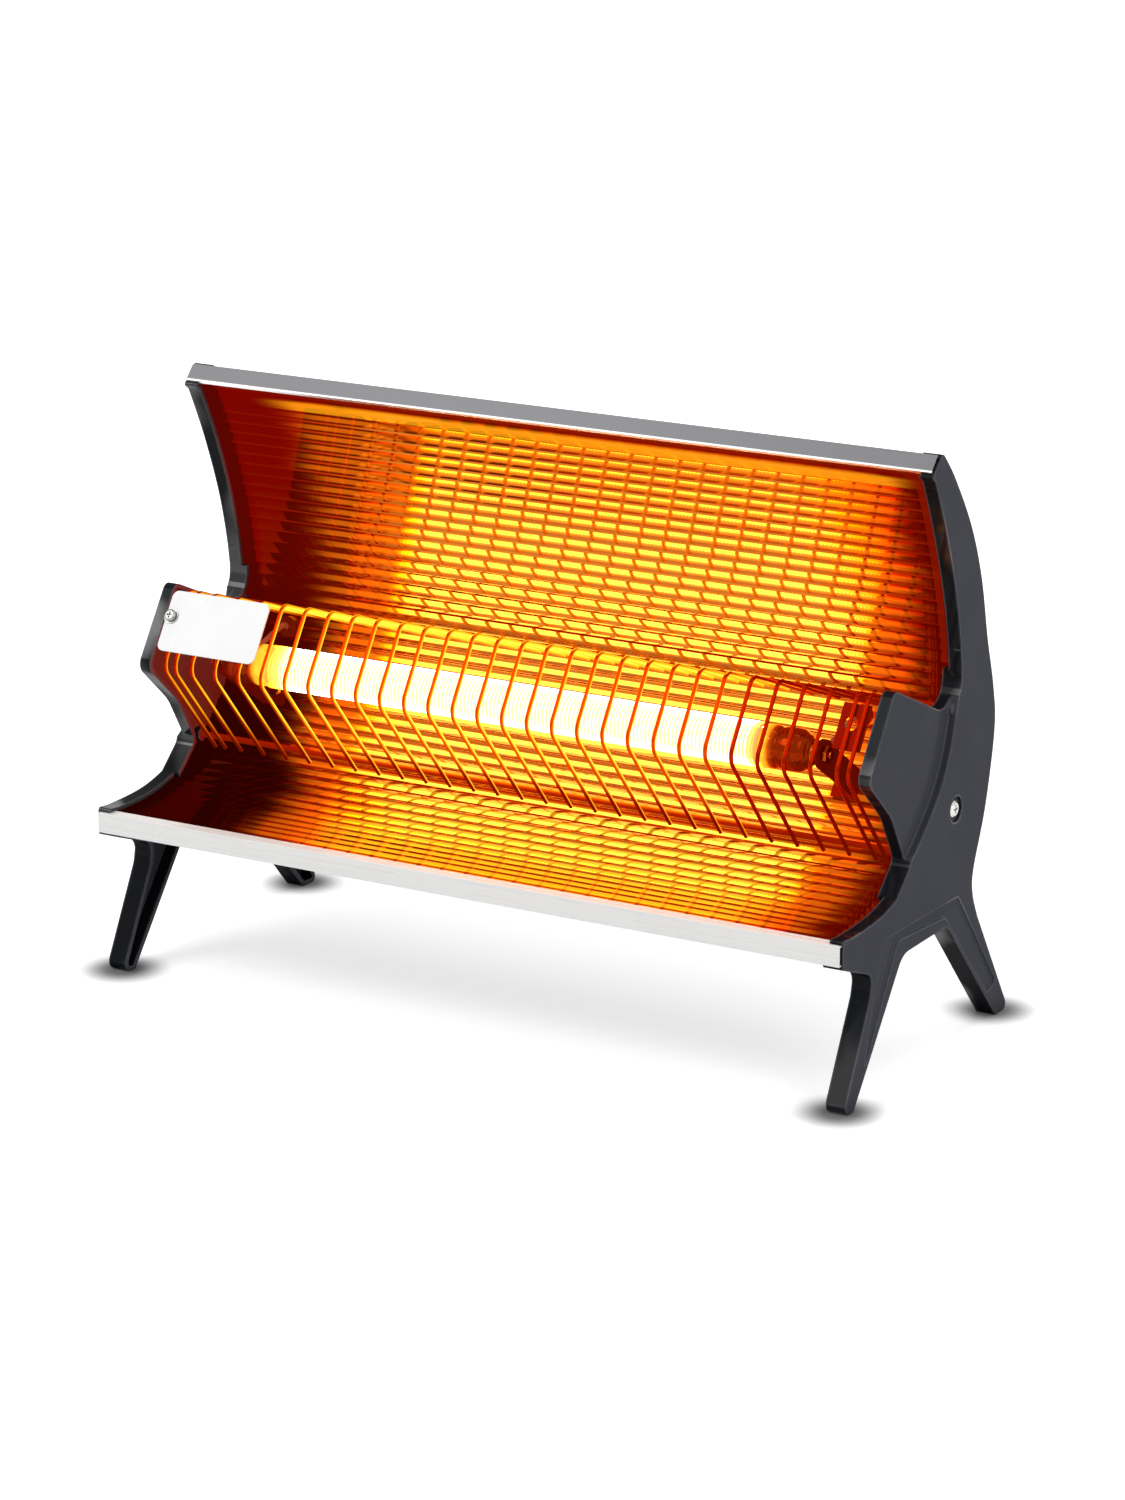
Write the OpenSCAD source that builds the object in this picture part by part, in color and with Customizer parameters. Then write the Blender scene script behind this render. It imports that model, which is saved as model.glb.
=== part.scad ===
// Electric bar heater: one glowing element in front of a fluted reflector,
// behind a wire guard, held between two cast end frames with legs.
// X runs along the bar, Y to the back, Z up. The origin is on the floor, under the middle.

/* [Body] */
// Width over the two end frames
body_w = 402; // [380:2:460]
// Depth of each end frame along X, from outer face to the edge of its flange
frame_d = 10; // [9:0.5:12]
// Depth of the frames' rim along the two curves of the reflector
rim_depth = 6.8; // [6:0.2:8]
// Thickness of an end frame's flat side
frame_web = 3; // [2.6:0.2:3.4]
// Thickness of an end frame's flange
frame_wall = 2.2; // [1.8:0.1:2.6]
// Depth of the cheek panel below the frame's outer face
cheek_recess = 4; // [3:0.25:4.5]
// Thickness of the cheek panel
cheek_web = 2.5; // [2:0.1:3]
// Depth of the relief on the legs
leg_relief = 1.2; // [0.6:0.1:1.4]

/* [Reflector and back] */
// Thickness of the reflector sheet
reflector_t = 0.5; // [0.4:0.05:0.8]
// Distance from one flute to the next
flute_pitch = 6; // [5:0.25:8]
// Depth of a flute, crest to root
flute_depth = 1.2; // [0.8:0.1:1.5]
// Plain band at each lip of the reflector
lip_band = 10; // [8:1:16]
// Thickness of the back cover sheet
cover_t = 0.8; // [0.6:0.1:1]
// Length of a vent slot
vent_l = 34; // [20:2:50]
// Width of a vent slot
vent_w = 4; // [3:0.5:5]
// Number of vent slots in a row
vent_count = 7; // [3:1:8]

/* [Trims] */
// Thickness of the two trim channels
trim_t = 0.8; // [0.6:0.1:1]
// Height of the bottom trim's face
trim_h = 9.8; // [9.4:0.2:10.6]
// Depth of the bottom trim's legs
trim_leg = 7; // [5:0.5:9]

/* [Guard] */
// Diameter of a guard wire
wire_d = 2; // [1.6:0.1:2.4]
// Distance between guard wires
wire_pitch = 13.4; // [11:0.1:16]
// Distance from an edge wire to the wire beside it
edge_gap = 5.8; // [5:0.1:7]
// Distance from that wire to the evenly spaced ones
next_gap = 11.4; // [10:0.2:13]
// How far the evenly spaced wires stand to the left of the middle
wire_shift = 2; // [0:0.5:3]
// Diameter of the guard's two rails
rail_d = 3; // [2.6:0.2:3.6]
// Width of the name plate
plate_w = 56; // [40:2:64]
// Height of the name plate
plate_h = 31; // [28:0.5:33]
// Thickness of the name plate
plate_t = 0.8; // [0.6:0.1:1.2]
// Corner radius of the name plate
plate_r = 3.5; // [2:0.5:6]
// Diameter of the name plate's screw head
plate_head_d = 7.6; // [6.8:0.2:8]

/* [Element] */
// Length of the heated winding
coil_l = 270; // [240:2:276]
// Outer diameter of the winding
coil_d = 21.2; // [20:0.2:22]
// Diameter of the drawn winding wire
coil_wire_d = 2; // [1.6:0.1:2.2]
// Number of drawn turns of the winding
coil_turns = 90; // [60:1:90]
// Bore through the ceramic core
core_bore_d = 5; // [4.6:0.2:6]
// Length of each porcelain end bush
bush_l = 25; // [20:1:26]
// Diameter of the element's tie rod
rod_d = 4; // [3.6:0.2:4.4]
// Thickness of the steel element brackets
bracket_t = 1.2; // [1:0.1:1.5]
// Width of the steel element brackets
bracket_w = 14; // [12:1:16]

/* [Wiring] */
// Diameter of an insulated lead
lead_d = 2.6; // [2.2:0.1:3]
// Bore of the cord gland
gland_bore_d = 7.4; // [6.6:0.2:8]
// Outer diameter of the gland's flange
gland_d = 18; // [16:1:22]

/* [Hidden] */
$fn = 48;

// Clearances
fit = 0.3;              // between a seated piece and its seat
shank_fit = 0.05;       // between a screw thread and its nut
hole_fit = 0.25;        // between a screw and a plain hole
far = 60;               // longer than any wall that it cuts

// Places across the width
face_x = body_w / 2;                    // outer face of a frame
rim_x = face_x - frame_d;               // edge of a frame's flange
slim_x = face_x - rim_depth;            // edge of the flange along the reflector
web_x = face_x - frame_web;             // inner face of a frame's flat side
cheek_x = face_x - cheek_recess;        // outer face of a cheek
trim_x = face_x - 1;                    // end of a trim
sheet_x = web_x - fit;                  // end of the reflector and of the back cover
end_plate_t = 1.2;
boss_x = web_x - 3;                     // end of a frame's screw boss
end_plate_x = boss_x - 0.2 - end_plate_t;

// ---------- curves ----------

function unit(v) = v / norm(v);
function left_of(v) = [-v[1], v[0]];
function reversed(list) = [for (i = [len(list) - 1 : -1 : 0]) list[i]];

// A smooth curve through key points
function spline_at(a, b, c, d, t) =
    0.5 * (2 * b + (c - a) * t + (2 * a - 5 * b + 4 * c - d) * t * t + (3 * b - a - 3 * c + d) * t * t * t);
function smooth(keys, steps) = [
    for (i = [0 : len(keys) - 2]) for (k = [0 : steps - 1])
        spline_at(keys[max(i - 1, 0)], keys[i], keys[i + 1], keys[min(i + 2, len(keys) - 1)], k / steps),
    keys[len(keys) - 1]
];

// The line moved sideways, to the left of its own direction
function heading(path, i) = unit(path[min(i + 1, len(path) - 1)] - path[max(i - 1, 0)]);
function beside(path, d) = [for (i = [0 : len(path) - 1]) path[i] + d * left_of(heading(path, i))];

// Corners [y, z, radius] turned into arcs
function corner_arc(a, b, c, r, n) =
    let (u = unit(a - b), v = unit(c - b), half = acos(u * v) / 2,
         start = b + u * r / tan(half), centre = b + unit(u + v) * r / sin(half),
         turn = sign(cross(b - a, c - b)) * (180 - 2 * half),
         a0 = atan2(start[1] - centre[1], start[0] - centre[0]))
    [for (k = [0 : n]) centre + r * [cos(a0 + turn * k / n), sin(a0 + turn * k / n)]];
function flat(p) = [p[0], p[1]];
function rounded(corners, n) = [
    for (i = [0 : len(corners) - 1])
        let (ends = i == 0 || i == len(corners) - 1)
        each (ends || corners[i][2] == 0
            ? [flat(corners[i])]
            : corner_arc(flat(corners[i - 1]), flat(corners[i]), flat(corners[i + 1]), corners[i][2], n))
];

// Length along a line, and the place and direction at a length
function lengths(path) = [
    for (i = 0, s = 0; i < len(path);
         s = s + norm(path[min(i + 1, len(path) - 1)] - path[i]), i = i + 1) s
];
function place(path, table, s) = [
    lookup(s, [for (i = [0 : len(path) - 1]) [table[i], path[i][0]]]),
    lookup(s, [for (i = [0 : len(path) - 1]) [table[i], path[i][1]]])
];
function bearing(path, table, s) =
    unit(place(path, table, s + 0.5) - place(path, table, s - 0.5));

// A sheet of one thickness along a line, and things stood on its left side
module sheet_2d(path, t) {
    polygon(concat(beside(path, t / 2), reversed(beside(path, -t / 2))));
}
module along_x(x0, x1) {
    translate([x0, 0, 0]) rotate([90, 0, 90]) linear_extrude(x1 - x0) children();
}
module stand_on(path, table, s, x) {
    p = place(path, table, s);
    n = left_of(bearing(path, table, s));
    translate([x, p[0], p[1]]) rotate([-atan2(n[0], n[1]), 0, 0]) children();
}
module both_sides() {
    children();
    mirror([1, 0, 0]) children();
}

// ---------- side profile, points are [y, z] ----------

// Reflector, from the top lip to the front lip
reflector_keys = [
    [-0.5, 279.5], [14, 249.5], [27, 214], [34, 178], [32.5, 150],
    [20, 123], [-8, 96.5], [-44, 82.5], [-86.4, 80.4]
];
reflector_line = smooth(reflector_keys, 12);
reflector_s = lengths(reflector_line);
reflector_len = reflector_s[len(reflector_s) - 1];

// Back edge of the frames, from the rear leg to the top
back_keys = [
    [53.5, 56.5], [47.8, 69], [48, 81], [59.5, 109], [67.3, 144],
    [64.8, 165], [57, 190], [49, 220], [37, 246.5], [19, 272], [6.5, 285.5]
];
back_line = smooth(back_keys, 8);

// The frames' rim stands in front of the reflector
rim_cover = frame_wall + fit + flute_depth / 2 + reflector_t / 2;
rim_line = beside(reflector_line, -rim_cover);
rim_high_z = 276;       // the rim's curve is followed up to here
rim_mid_z = 180;        // and down to here, where the cheek starts
rim_low_y = -31;        // the cheek ends here
rim_front_y = -80;      // and the rim's curve ends here
rim_top = [for (p = rim_line) if (p[1] > rim_mid_z && p[1] < rim_high_z) p];
rim_low = [for (p = rim_line) if (p[0] < rim_low_y && p[0] > rim_front_y) p];

// Corners [y, z, radius] of the cheek, legs and feet
front_y = -86;          // front end of the frames
cheek_corners = [
    [30.7, 158.4, 12], [-30.9, 185.4, 4.5], [-55.9, 148, 6], [-31.5, 126, 30], [-17.5, 102.5, 5]
];
leg_corners = [
    [front_y, 84.6, 1.5], [front_y, 71, 1.2], [-56, 59.8, 6], [-58, 49.5, 14], [-83.8, 0, 4.5],
    [-73, 0, 1], [-25.5, 60.8, 12], [21, 60.8, 8], [77, 0, 1], [90.5, 0, 3]
];
tip_corners = [[4.4, 287, 1.8], [-5.6, 277.6, 1]];

function from_to(a, corners, b) = rounded(concat([[a[0], a[1], 0]], corners, [[b[0], b[1], 0]]), 6);
outline = concat(
    rim_top,
    from_to(rim_top[len(rim_top) - 1], cheek_corners, rim_low[0]),
    rim_low,
    from_to(rim_low[len(rim_low) - 1], leg_corners, back_line[0]),
    back_line,
    from_to(back_line[len(back_line) - 1], tip_corners, rim_top[0])
);

past_y = -92;           // in front of everything
past_z = 294;           // above everything
over_cheek_z = 200;     // above the cheek
under_cheek_z = 90;     // below the cheek's step

// Front edge of the raised band, where the cheek starts
step_keys = [[29, 186], [28.5, 174], [25, 160], [18.6, 142], [7.6, 125.5], [-13, 107], [-27, 99]];
step_line = smooth(step_keys, 6);

// Relief on the legs
relief_corners = [
    [-62.2, 19, 0], [-53.5, 53, 20], [-43.5, 73, 4], [32, 71.8, 3], [76, 17.5, 1.5], [67, 14.5, 1.5],
    [19, 65.8, 5], [-31, 69, 7], [-61.2, 19, 0]
];

// Back cover, from its top edge down the back and forward under the reflector
cover_inset = frame_wall + fit + cover_t / 2;
cover_back = [for (p = beside(back_line, cover_inset)) if (p[1] > 90) p];
cover_z = 74.4;         // middle of the cover's floor
cover_low_z = 92;       // the back's curve is followed down to here
cover_line = concat(
    [[2.6, 280.6]],
    reversed([for (p = cover_back) if (p[1] > cover_low_z && p[1] < rim_high_z) p]),
    rounded([[cover_back[0][0], cover_back[0][1], 0], [41.5, cover_z, 8], [-86.4, cover_z, 0]], 6)
);
cover_s = lengths(cover_line);

// ---------- end frames and end plates ----------

screw_d = 4;
side_screw = [27.5, 115.3];             // place of the side screw, [y, z]
side_head_d = 8;
side_head_h = 2;
side_head_x = face_x - 2.2;             // seat of the screw's head
side_pocket_d = 12.5;
side_boss_d = 15;
nut_h = 4;
nut_d = 8.5;

wire_corner = [-30.5, 182.2];
wire_nose = [-52.4, 148.5];
wire_front_end = [-9.4, 98.1];
wire_back_end = [30.5, 159.2];
slope_dir = unit(wire_nose - wire_corner);
low_dir = unit(wire_front_end - wire_nose);
top_dir = unit(wire_corner - wire_back_end);
rail_step = (wire_d + rail_d) / 2 + 0.1;
top_rail = wire_back_end + top_dir * 4 - left_of(top_dir) * rail_step;
bottom_rail = wire_front_end - low_dir * 5.5 + left_of(low_dir) * rail_step;
rail_boss_d = rail_d + 4;
rail_seat_x = rim_x + 3.5;              // bottom of the rail's socket

module frame_shape() {
    polygon(outline);
}
module cheek_shape(grow) {
    polygon(concat(beside(step_line, grow), [[-27, under_cheek_z], [past_y, under_cheek_z],
        [past_y, over_cheek_z], [29, over_cheek_z]]));
}
// Where the flange is only as deep as the rim along the reflector
module slim_zones() {
    before = 1.5;
    behind = frame_wall + 0.8;
    front_z = rim_low[len(rim_low) - 1][1];
    polygon(concat([[-14, past_z]], beside(rim_top, -before),
        reversed(beside(rim_top, behind)), [[8, past_z]]));
    polygon(concat(beside(rim_low, -before), [[past_y, front_z + before], [past_y, front_z - behind]],
        reversed(beside(rim_low, behind))));
}
module trim_notches() {
    along_x(0, trim_x + 0.2) {
        top_trim_2d(0.25);
        bottom_trim_2d(0.25);
    }
}
module end_frame() {
    difference() {
        union() {
            difference() {
                along_x(rim_x, face_x) frame_shape();
                along_x(rim_x - 1, cheek_x - cheek_web) offset(delta = -frame_wall) frame_shape();
                along_x(rim_x - 1, web_x) difference() {
                    offset(delta = -frame_wall) frame_shape();
                    cheek_shape(frame_wall);
                }
                along_x(cheek_x, face_x + 1) intersection() {
                    cheek_shape(0);
                    translate([-70, 101]) square([100, 90]);
                }
                along_x(face_x - leg_relief, face_x + 1) polygon(rounded(relief_corners, 5));
                along_x(rim_x - 1, slim_x) slim_zones();
            }
            translate([boss_x, side_screw[0], side_screw[1]]) rotate([0, 90, 0])
                cylinder(h = face_x - boss_x - 2.2, d = side_boss_d);
            for (p = [top_rail, bottom_rail])
                translate([rim_x, p[0], p[1]]) rotate([0, 90, 0])
                    cylinder(h = web_x - rim_x + 1, d = rail_boss_d);
        }
        translate([side_head_x, side_screw[0], side_screw[1]]) rotate([0, 90, 0])
            cylinder(h = far, d = side_pocket_d);
        translate([rim_x, side_screw[0], side_screw[1]]) rotate([0, 90, 0])
            cylinder(h = far, d = screw_d + 2 * hole_fit);
        for (p = [top_rail, bottom_rail])
            translate([rim_x - 1, p[0], p[1]]) rotate([0, 90, 0])
                cylinder(h = rail_seat_x - rim_x + 1, d = rail_d + 2 * shank_fit);
        trim_notches();
    }
}

module right_end_frame() {
    color([0.28, 0.29, 0.32]) end_frame();
}
module left_end_frame() {
    color([0.28, 0.29, 0.32]) mirror([1, 0, 0]) end_frame();
}

// Steel plate between reflector and cover that the side screw pulls on
tab_s = [70, 150];                      // places of the cover screws along the cover
tab_l = 13;
tab_w = 14;
cover_screw_d = 3;
plate_edge = flute_depth / 2 + reflector_t / 2 + fit;
cover_edge = cover_t / 2 + fit;
module end_plate() {
    reflector_side = [for (p = beside(reflector_line, plate_edge)) if (p[1] < 262 && p[0] > -60) p];
    cover_side = [for (p = beside(cover_line, -cover_edge)) if (p[1] < 262 && p[0] > -60) p];
    difference() {
        union() {
            along_x(end_plate_x, end_plate_x + end_plate_t)
                polygon(concat(reflector_side, reversed(cover_side)));
            translate([end_plate_x - nut_h, side_screw[0], side_screw[1]]) rotate([0, 90, 0])
                cylinder(h = nut_h + 0.1, d = nut_d);
            for (s = tab_s)
                stand_on(cover_line, cover_s, s, end_plate_x)
                    translate([-tab_l, -tab_w / 2, -cover_edge - end_plate_t])
                        cube([tab_l + 0.5, tab_w, end_plate_t]);
        }
        translate([end_plate_x - far / 2, side_screw[0], side_screw[1]]) rotate([0, 90, 0])
            cylinder(h = far, d = screw_d + 2 * shank_fit);
        for (s = tab_s)
            stand_on(cover_line, cover_s, s, end_plate_x - tab_l / 2)
                translate([0, 0, -5]) cylinder(h = 6, d = cover_screw_d + 2 * shank_fit);
    }
}
module right_end_plate() {
    color([0.72, 0.73, 0.75]) end_plate();
}
module left_end_plate() {
    color([0.72, 0.73, 0.75]) mirror([1, 0, 0]) end_plate();
}

module pan_head(d, h) {
    cylinder(h = h * 0.55, d = d);
    translate([0, 0, h * 0.55]) cylinder(h = h * 0.45, d1 = d, d2 = d * 0.72);
}
module cross_slot(d, h) {
    for (a = [0, 90]) rotate([0, 0, a])
        translate([-d * 0.26, -d * 0.06, h * 0.5]) cube([d * 0.52, d * 0.12, h]);
}
module side_screws() {
    color("silver") both_sides()
        translate([side_head_x, side_screw[0], side_screw[1]]) rotate([0, 90, 0]) difference() {
            union() {
                pan_head(side_head_d, side_head_h);
                translate([0, 0, end_plate_x - nut_h - side_head_x])
                    cylinder(h = side_head_x - end_plate_x + nut_h, d = screw_d);
            }
            cross_slot(side_head_d, side_head_h);
        }
}

// ---------- reflector, cover and trims ----------

flute_count = floor((reflector_len - 2 * lip_band) / flute_pitch);
flute_start = (reflector_len - flute_count * flute_pitch) / 2;
function flute_wave(s) =
    s < flute_start || s > reflector_len - flute_start ? 0
    : -cos(360 * (s - flute_start) / flute_pitch) * flute_depth / 2;
flute_steps = 6;
fluted_line = concat(
    [reflector_line[0]],
    [for (k = [0 : flute_count * flute_steps])
        let (s = flute_start + k * flute_pitch / flute_steps)
        place(reflector_line, reflector_s, s)
            + flute_wave(s) * left_of(bearing(reflector_line, reflector_s, s))],
    [reflector_line[len(reflector_line) - 1]]
);
bracket_s = 168;                        // place of the element brackets along the reflector
lead_hole_s = 134;                      // place of the lead bushes along the reflector
lead_fit = 0.1;                         // between a lead and the hole it sits in
lead_bush_d = 7;
bracket_screw_d = 3;
foot_l = 12;
module reflector() {
    color([0.85, 0.42, 0.12]) difference() {
        along_x(-sheet_x, sheet_x) sheet_2d(fluted_line, reflector_t);
        at_both_ends() {
            stand_on(reflector_line, reflector_s, lead_hole_s, lead_hole_x)
                translate([0, 0, -5]) cylinder(h = 10, d = lead_bush_d + 2 * shank_fit);
            stand_on(reflector_line, reflector_s, bracket_s, foot_x)
                translate([0, 0, -5]) cylinder(h = 10, d = bracket_screw_d + 2 * hole_fit);
        }
    }
}

gland_s = 194;                          // place of the cord gland along the cover
gland_x = -120;
vent_rows = [52, 96, 128];              // places of the vent rows along the cover
vent_gap = 14;
module back_cover() {
    color([0.24, 0.25, 0.27]) difference() {
        along_x(-sheet_x, sheet_x) sheet_2d(cover_line, cover_t);
        for (s = vent_rows) for (i = [0 : vent_count - 1])
            stand_on(cover_line, cover_s, s, (i - (vent_count - 1) / 2) * (vent_l + vent_gap))
                translate([-vent_l / 2, -vent_w / 2, -5]) cube([vent_l, vent_w, 10]);
        both_sides() for (s = tab_s)
            stand_on(cover_line, cover_s, s, end_plate_x - tab_l / 2)
                translate([0, 0, -5]) cylinder(h = 10, d = cover_screw_d + 2 * hole_fit);
        stand_on(cover_line, cover_s, gland_s, gland_x)
            translate([0, 0, -5]) cylinder(h = 10, d = gland_neck_d + 2 * shank_fit);
        for (x = block_screw_x) translate([block_x + x, block_y, cover_z - 5])
            cylinder(h = 10, d = block_screw_d + 2 * shank_fit);
        translate([earth_x, earth_y, cover_z - 5]) cylinder(h = 10, d = earth_screw_d + 2 * shank_fit);
    }
}
module back_cover_screws() {
    color("silver") both_sides() for (s = tab_s)
        stand_on(cover_line, cover_s, s, end_plate_x - tab_l / 2) difference() {
            union() {
                translate([0, 0, cover_t / 2]) pan_head(5.6, 2);
                translate([0, 0, -6]) cylinder(h = 6.5, d = cover_screw_d);
            }
            translate([0, 0, cover_t / 2]) cross_slot(5.6, 2);
        }
}

// Top trim: a slanted face with a long upper leg and a short lower leg
top_low = [-5.3, 280.2];                // lower edge of the face
top_high = [1, 287];                    // upper edge of the face
top_dir_out = unit(top_high - top_low);
top_in = [top_dir_out[1], -top_dir_out[0]];
module top_trim_2d(grow) {
    w = norm(top_high - top_low);
    translate(top_low) rotate(atan2(top_dir_out[1], top_dir_out[0])) {
        translate([-grow, -trim_t - grow]) square([w + 2 * grow, trim_t + 2 * grow]);
        translate([-grow, -2.4 - grow]) square([trim_t + 2 * grow, 2.4 + grow]);
        translate([w - trim_t - grow, -8 - grow]) square([trim_t + 2 * grow, 8 + grow]);
    }
}
trim_front_y = -87.9;
trim_foot_z = 72.6;
module bottom_trim_2d(grow) {
    translate([trim_front_y - grow, trim_foot_z - grow]) {
        square([trim_t + 2 * grow, trim_h + 2 * grow]);
        square([trim_leg + grow, trim_t + 2 * grow]);
        translate([0, trim_h - trim_t]) square([trim_leg + grow, trim_t + 2 * grow]);
    }
}
module top_trim() {
    color([0.75, 0.75, 0.77]) along_x(-trim_x, trim_x) top_trim_2d(0);
}
module bottom_trim() {
    color([0.92, 0.92, 0.92]) along_x(-trim_x, trim_x) bottom_trim_2d(0);
}

// ---------- guard ----------

edge_wire_x = rim_x - 6.6;
last_wire_x = edge_wire_x - edge_gap;
even_x = last_wire_x - next_gap;
even_wires = round(2 * even_x / wire_pitch) + 1;
true_pitch = 2 * even_x / (even_wires - 1);
wire_x = concat(
    [-edge_wire_x, -last_wire_x],
    [for (i = [0 : even_wires - 1]) i * true_pitch - even_x - wire_shift],
    [last_wire_x, edge_wire_x]
);
corner_bend = 5;
nose_bend = 8;
bend_swell = 0.06;                      // a bent wire is that much thicker
run_overlap = 0.25;                     // straight wire held inside a bend's end

// A round wire along straight runs with bends, drawn flat
module run(a, b, d) {
    v = b - a;
    translate([a[0], a[1], 0]) rotate([0, 0, atan2(v[1], v[0])]) rotate([0, 90, 0])
        cylinder(h = norm(v), d = d, $fn = 24);
}
module bend(a, b, c, r, d) {
    u = unit(a - b);
    v = unit(c - b);
    half = acos(u * v) / 2;
    centre = b + unit(u + v) * r / sin(half);
    start = b + u * r / tan(half) - centre;
    turn = sign(cross(b - a, c - b)) * (180 - 2 * half);
    translate([centre[0], centre[1], 0])
        rotate([0, 0, atan2(start[1], start[0]) + min(turn, 0)])
            rotate_extrude(angle = abs(turn)) translate([r, 0]) circle(d = d + bend_swell, $fn = 24);
}
function setback(a, b, c, r) = r / tan(acos(unit(a - b) * unit(c - b)) / 2) - run_overlap;
module guard_wire() {
    p = wire_back_end;
    c = wire_corner;
    n = wire_nose;
    e = wire_front_end;
    sc = setback(p, c, n, corner_bend);
    sn = setback(c, n, e, nose_bend);
    run(p, c + unit(p - c) * sc, wire_d);
    bend(p, c, n, corner_bend, wire_d);
    run(c + unit(n - c) * sc, n + unit(c - n) * sn, wire_d);
    bend(c, n, e, nose_bend, wire_d);
    run(n + unit(e - n) * sn, e, wire_d);
}
module guard_wires() {
    color([0.80, 0.45, 0.15]) for (x = wire_x)
        translate([x, 0, 0]) rotate([90, 0, 90]) guard_wire();
}
module guard_rail(p) {
    color([0.80, 0.45, 0.15]) translate([-rail_seat_x + fit, p[0], p[1]]) rotate([0, 90, 0])
        cylinder(h = 2 * (rail_seat_x - fit), d = rail_d);
}
module guard_top_rail() {
    guard_rail(top_rail);
}
module guard_bottom_rail() {
    guard_rail(bottom_rail);
}

// Things on the guard's upper front slope, s down from its corner: local Y up the slope, Z outwards
module on_slope(x, s) {
    p = wire_corner + slope_dir * s;
    translate([x, p[0], p[1]]) rotate([atan2(-slope_dir[1], -slope_dir[0]), 0, 0]) children();
}
tab_t = 1;
tab_gap = 0.1;                          // between a tab and the wires that it is welded to
tab_s0 = 5;                             // top edge of a tab down the slope
tab_s1 = 27;                            // bottom edge of a tab
plate_s = 1.2;                          // top edge of the name plate down the slope
plate_x = -rim_x + 0.5;                 // left edge of the name plate
plate_screw_x = -edge_wire_x - 3.1;
plate_screw_s = 14.5;
plate_screw_d = 3;
tab_hole_d = 7;
module guard_tab(x0, x1, hole_x, hole_d) {
    difference() {
        on_slope(x0, tab_s1) translate([0, 0, -wire_d / 2 - tab_gap - tab_t])
            cube([x1 - x0, tab_s1 - tab_s0, tab_t]);
        on_slope(hole_x, plate_screw_s) translate([0, 0, -10]) cylinder(h = 20, d = hole_d);
    }
}
module guard_tabs() {
    color([0.62, 0.30, 0.14]) {
        guard_tab(plate_x + 0.8, -last_wire_x + 1, plate_screw_x, plate_screw_d + 2 * shank_fit);
        guard_tab(last_wire_x - 6, edge_wire_x + 2, last_wire_x, tab_hole_d);
    }
}
module name_plate() {
    w = plate_w;
    h = plate_h;
    color([0.95, 0.95, 0.95]) difference() {
        on_slope(plate_x, plate_s + h) translate([0, 0, wire_d / 2 + tab_gap]) linear_extrude(plate_t)
            polygon(rounded([[w / 2, 0, 0], [w, 0, plate_r], [w, h, plate_r], [0, h, plate_r],
                [0, 0, plate_r], [w / 2, 0, 0]], 6));
        on_slope(plate_screw_x, plate_screw_s) translate([0, 0, -10])
            cylinder(h = 20, d = plate_screw_d + 2 * hole_fit);
    }
}
module name_plate_screw() {
    seat = wire_d / 2 + tab_gap + plate_t;
    color("silver") on_slope(plate_screw_x, plate_screw_s) difference() {
        union() {
            translate([0, 0, seat]) cylinder(h = 0.5, d = plate_head_d);
            translate([0, 0, seat + 0.5]) pan_head(plate_head_d * 0.8, 1.8);
            translate([0, 0, -wire_d / 2 - tab_t - 3])
                cylinder(h = seat + wire_d / 2 + tab_t + 3, d = plate_screw_d);
        }
        translate([0, 0, seat + 0.5]) cross_slot(plate_head_d * 0.8, 1.8);
    }
}
// ---------- element ----------

element = [-20.6, 147.5];               // axis of the element, [y, z]
coil_mid_x = -8;                        // middle of the heated length
coil_x0 = coil_mid_x - coil_l / 2;
coil_x1 = coil_mid_x + coil_l / 2;
coil_mean_r = (coil_d - coil_wire_d) / 2;
coil_rings = 8;
core_r = coil_mean_r * cos(180 / coil_rings) - coil_wire_d / 2 - fit;
bush_r = coil_d / 2 - 0.3;
bush_neck_r = 6.5;
bush_body_l = 0.78 * bush_l;            // full-width length of a bush
bush_groove = 1.6;                      // width of the groove round it
bush_face_gap = 1.2 * coil_wire_d;
bracket_x = coil_x1 + bush_l + 3.4;
foot_x = bracket_x - foot_l / 2;        // middle of a bracket's foot
nut_across = 7;
nut_t = 3;

module on_element(x) {
    translate([x, element[0], element[1]]) rotate([0, 90, 0]) children();
}

// One unbroken tube swept along points
function add3(a, b) = a + b;
function ring(c, dir, up, r, sides) =
    let (side = unit(cross(dir, up)), top = unit(cross(side, dir)))
    [for (k = [0 : sides - 1]) c + r * (cos(360 * k / sides) * side + sin(360 * k / sides) * top)];
function tube_rings(path, ups, r, sides) = [
    for (i = [0 : len(path) - 1])
        ring(path[i], unit(path[min(i + 1, len(path) - 1)] - path[max(i - 1, 0)]), ups[i], r, sides)
];
module swept(path, ups, r, sides) {
    rings = tube_rings(path, ups, r, sides);
    n = len(path);
    polyhedron(
        points = [for (loop = rings) each loop],
        faces = concat(
            [[for (k = [0 : sides - 1]) k]],
            [for (i = [0 : n - 2]) for (k = [0 : sides - 1])
                let (a = i * sides + k, b = i * sides + (k + 1) % sides)
                each [[a, a + sides, b], [b, a + sides, b + sides]]],
            [[for (k = [sides - 1 : -1 : 0]) (n - 1) * sides + k]]
        )
    );
}
coil_bend_r = 0.85 * coil_wire_d;
coil_lead = coil_bend_r + coil_wire_d;          // straight run into a bush
coil_helix_l = coil_l - 2 * coil_lead;
coil_steps = coil_turns * coil_rings;
function helix(k) =
    let (a = 360 * k / coil_rings)
    [coil_x0 + coil_lead + coil_helix_l * k / coil_steps,
     element[0] + coil_mean_r * sin(a), element[1] + coil_mean_r * cos(a)];
function outward(p) = unit([0, p[1] - element[0], p[2] - element[1]]);
coil_first = helix(0);
coil_last = helix(coil_steps);
first_dir = [0, -1, 0];
last_dir = [0, cos(360 * coil_steps / coil_rings), -sin(360 * coil_steps / coil_rings)];
bend_steps = [1, 0.5];
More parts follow.
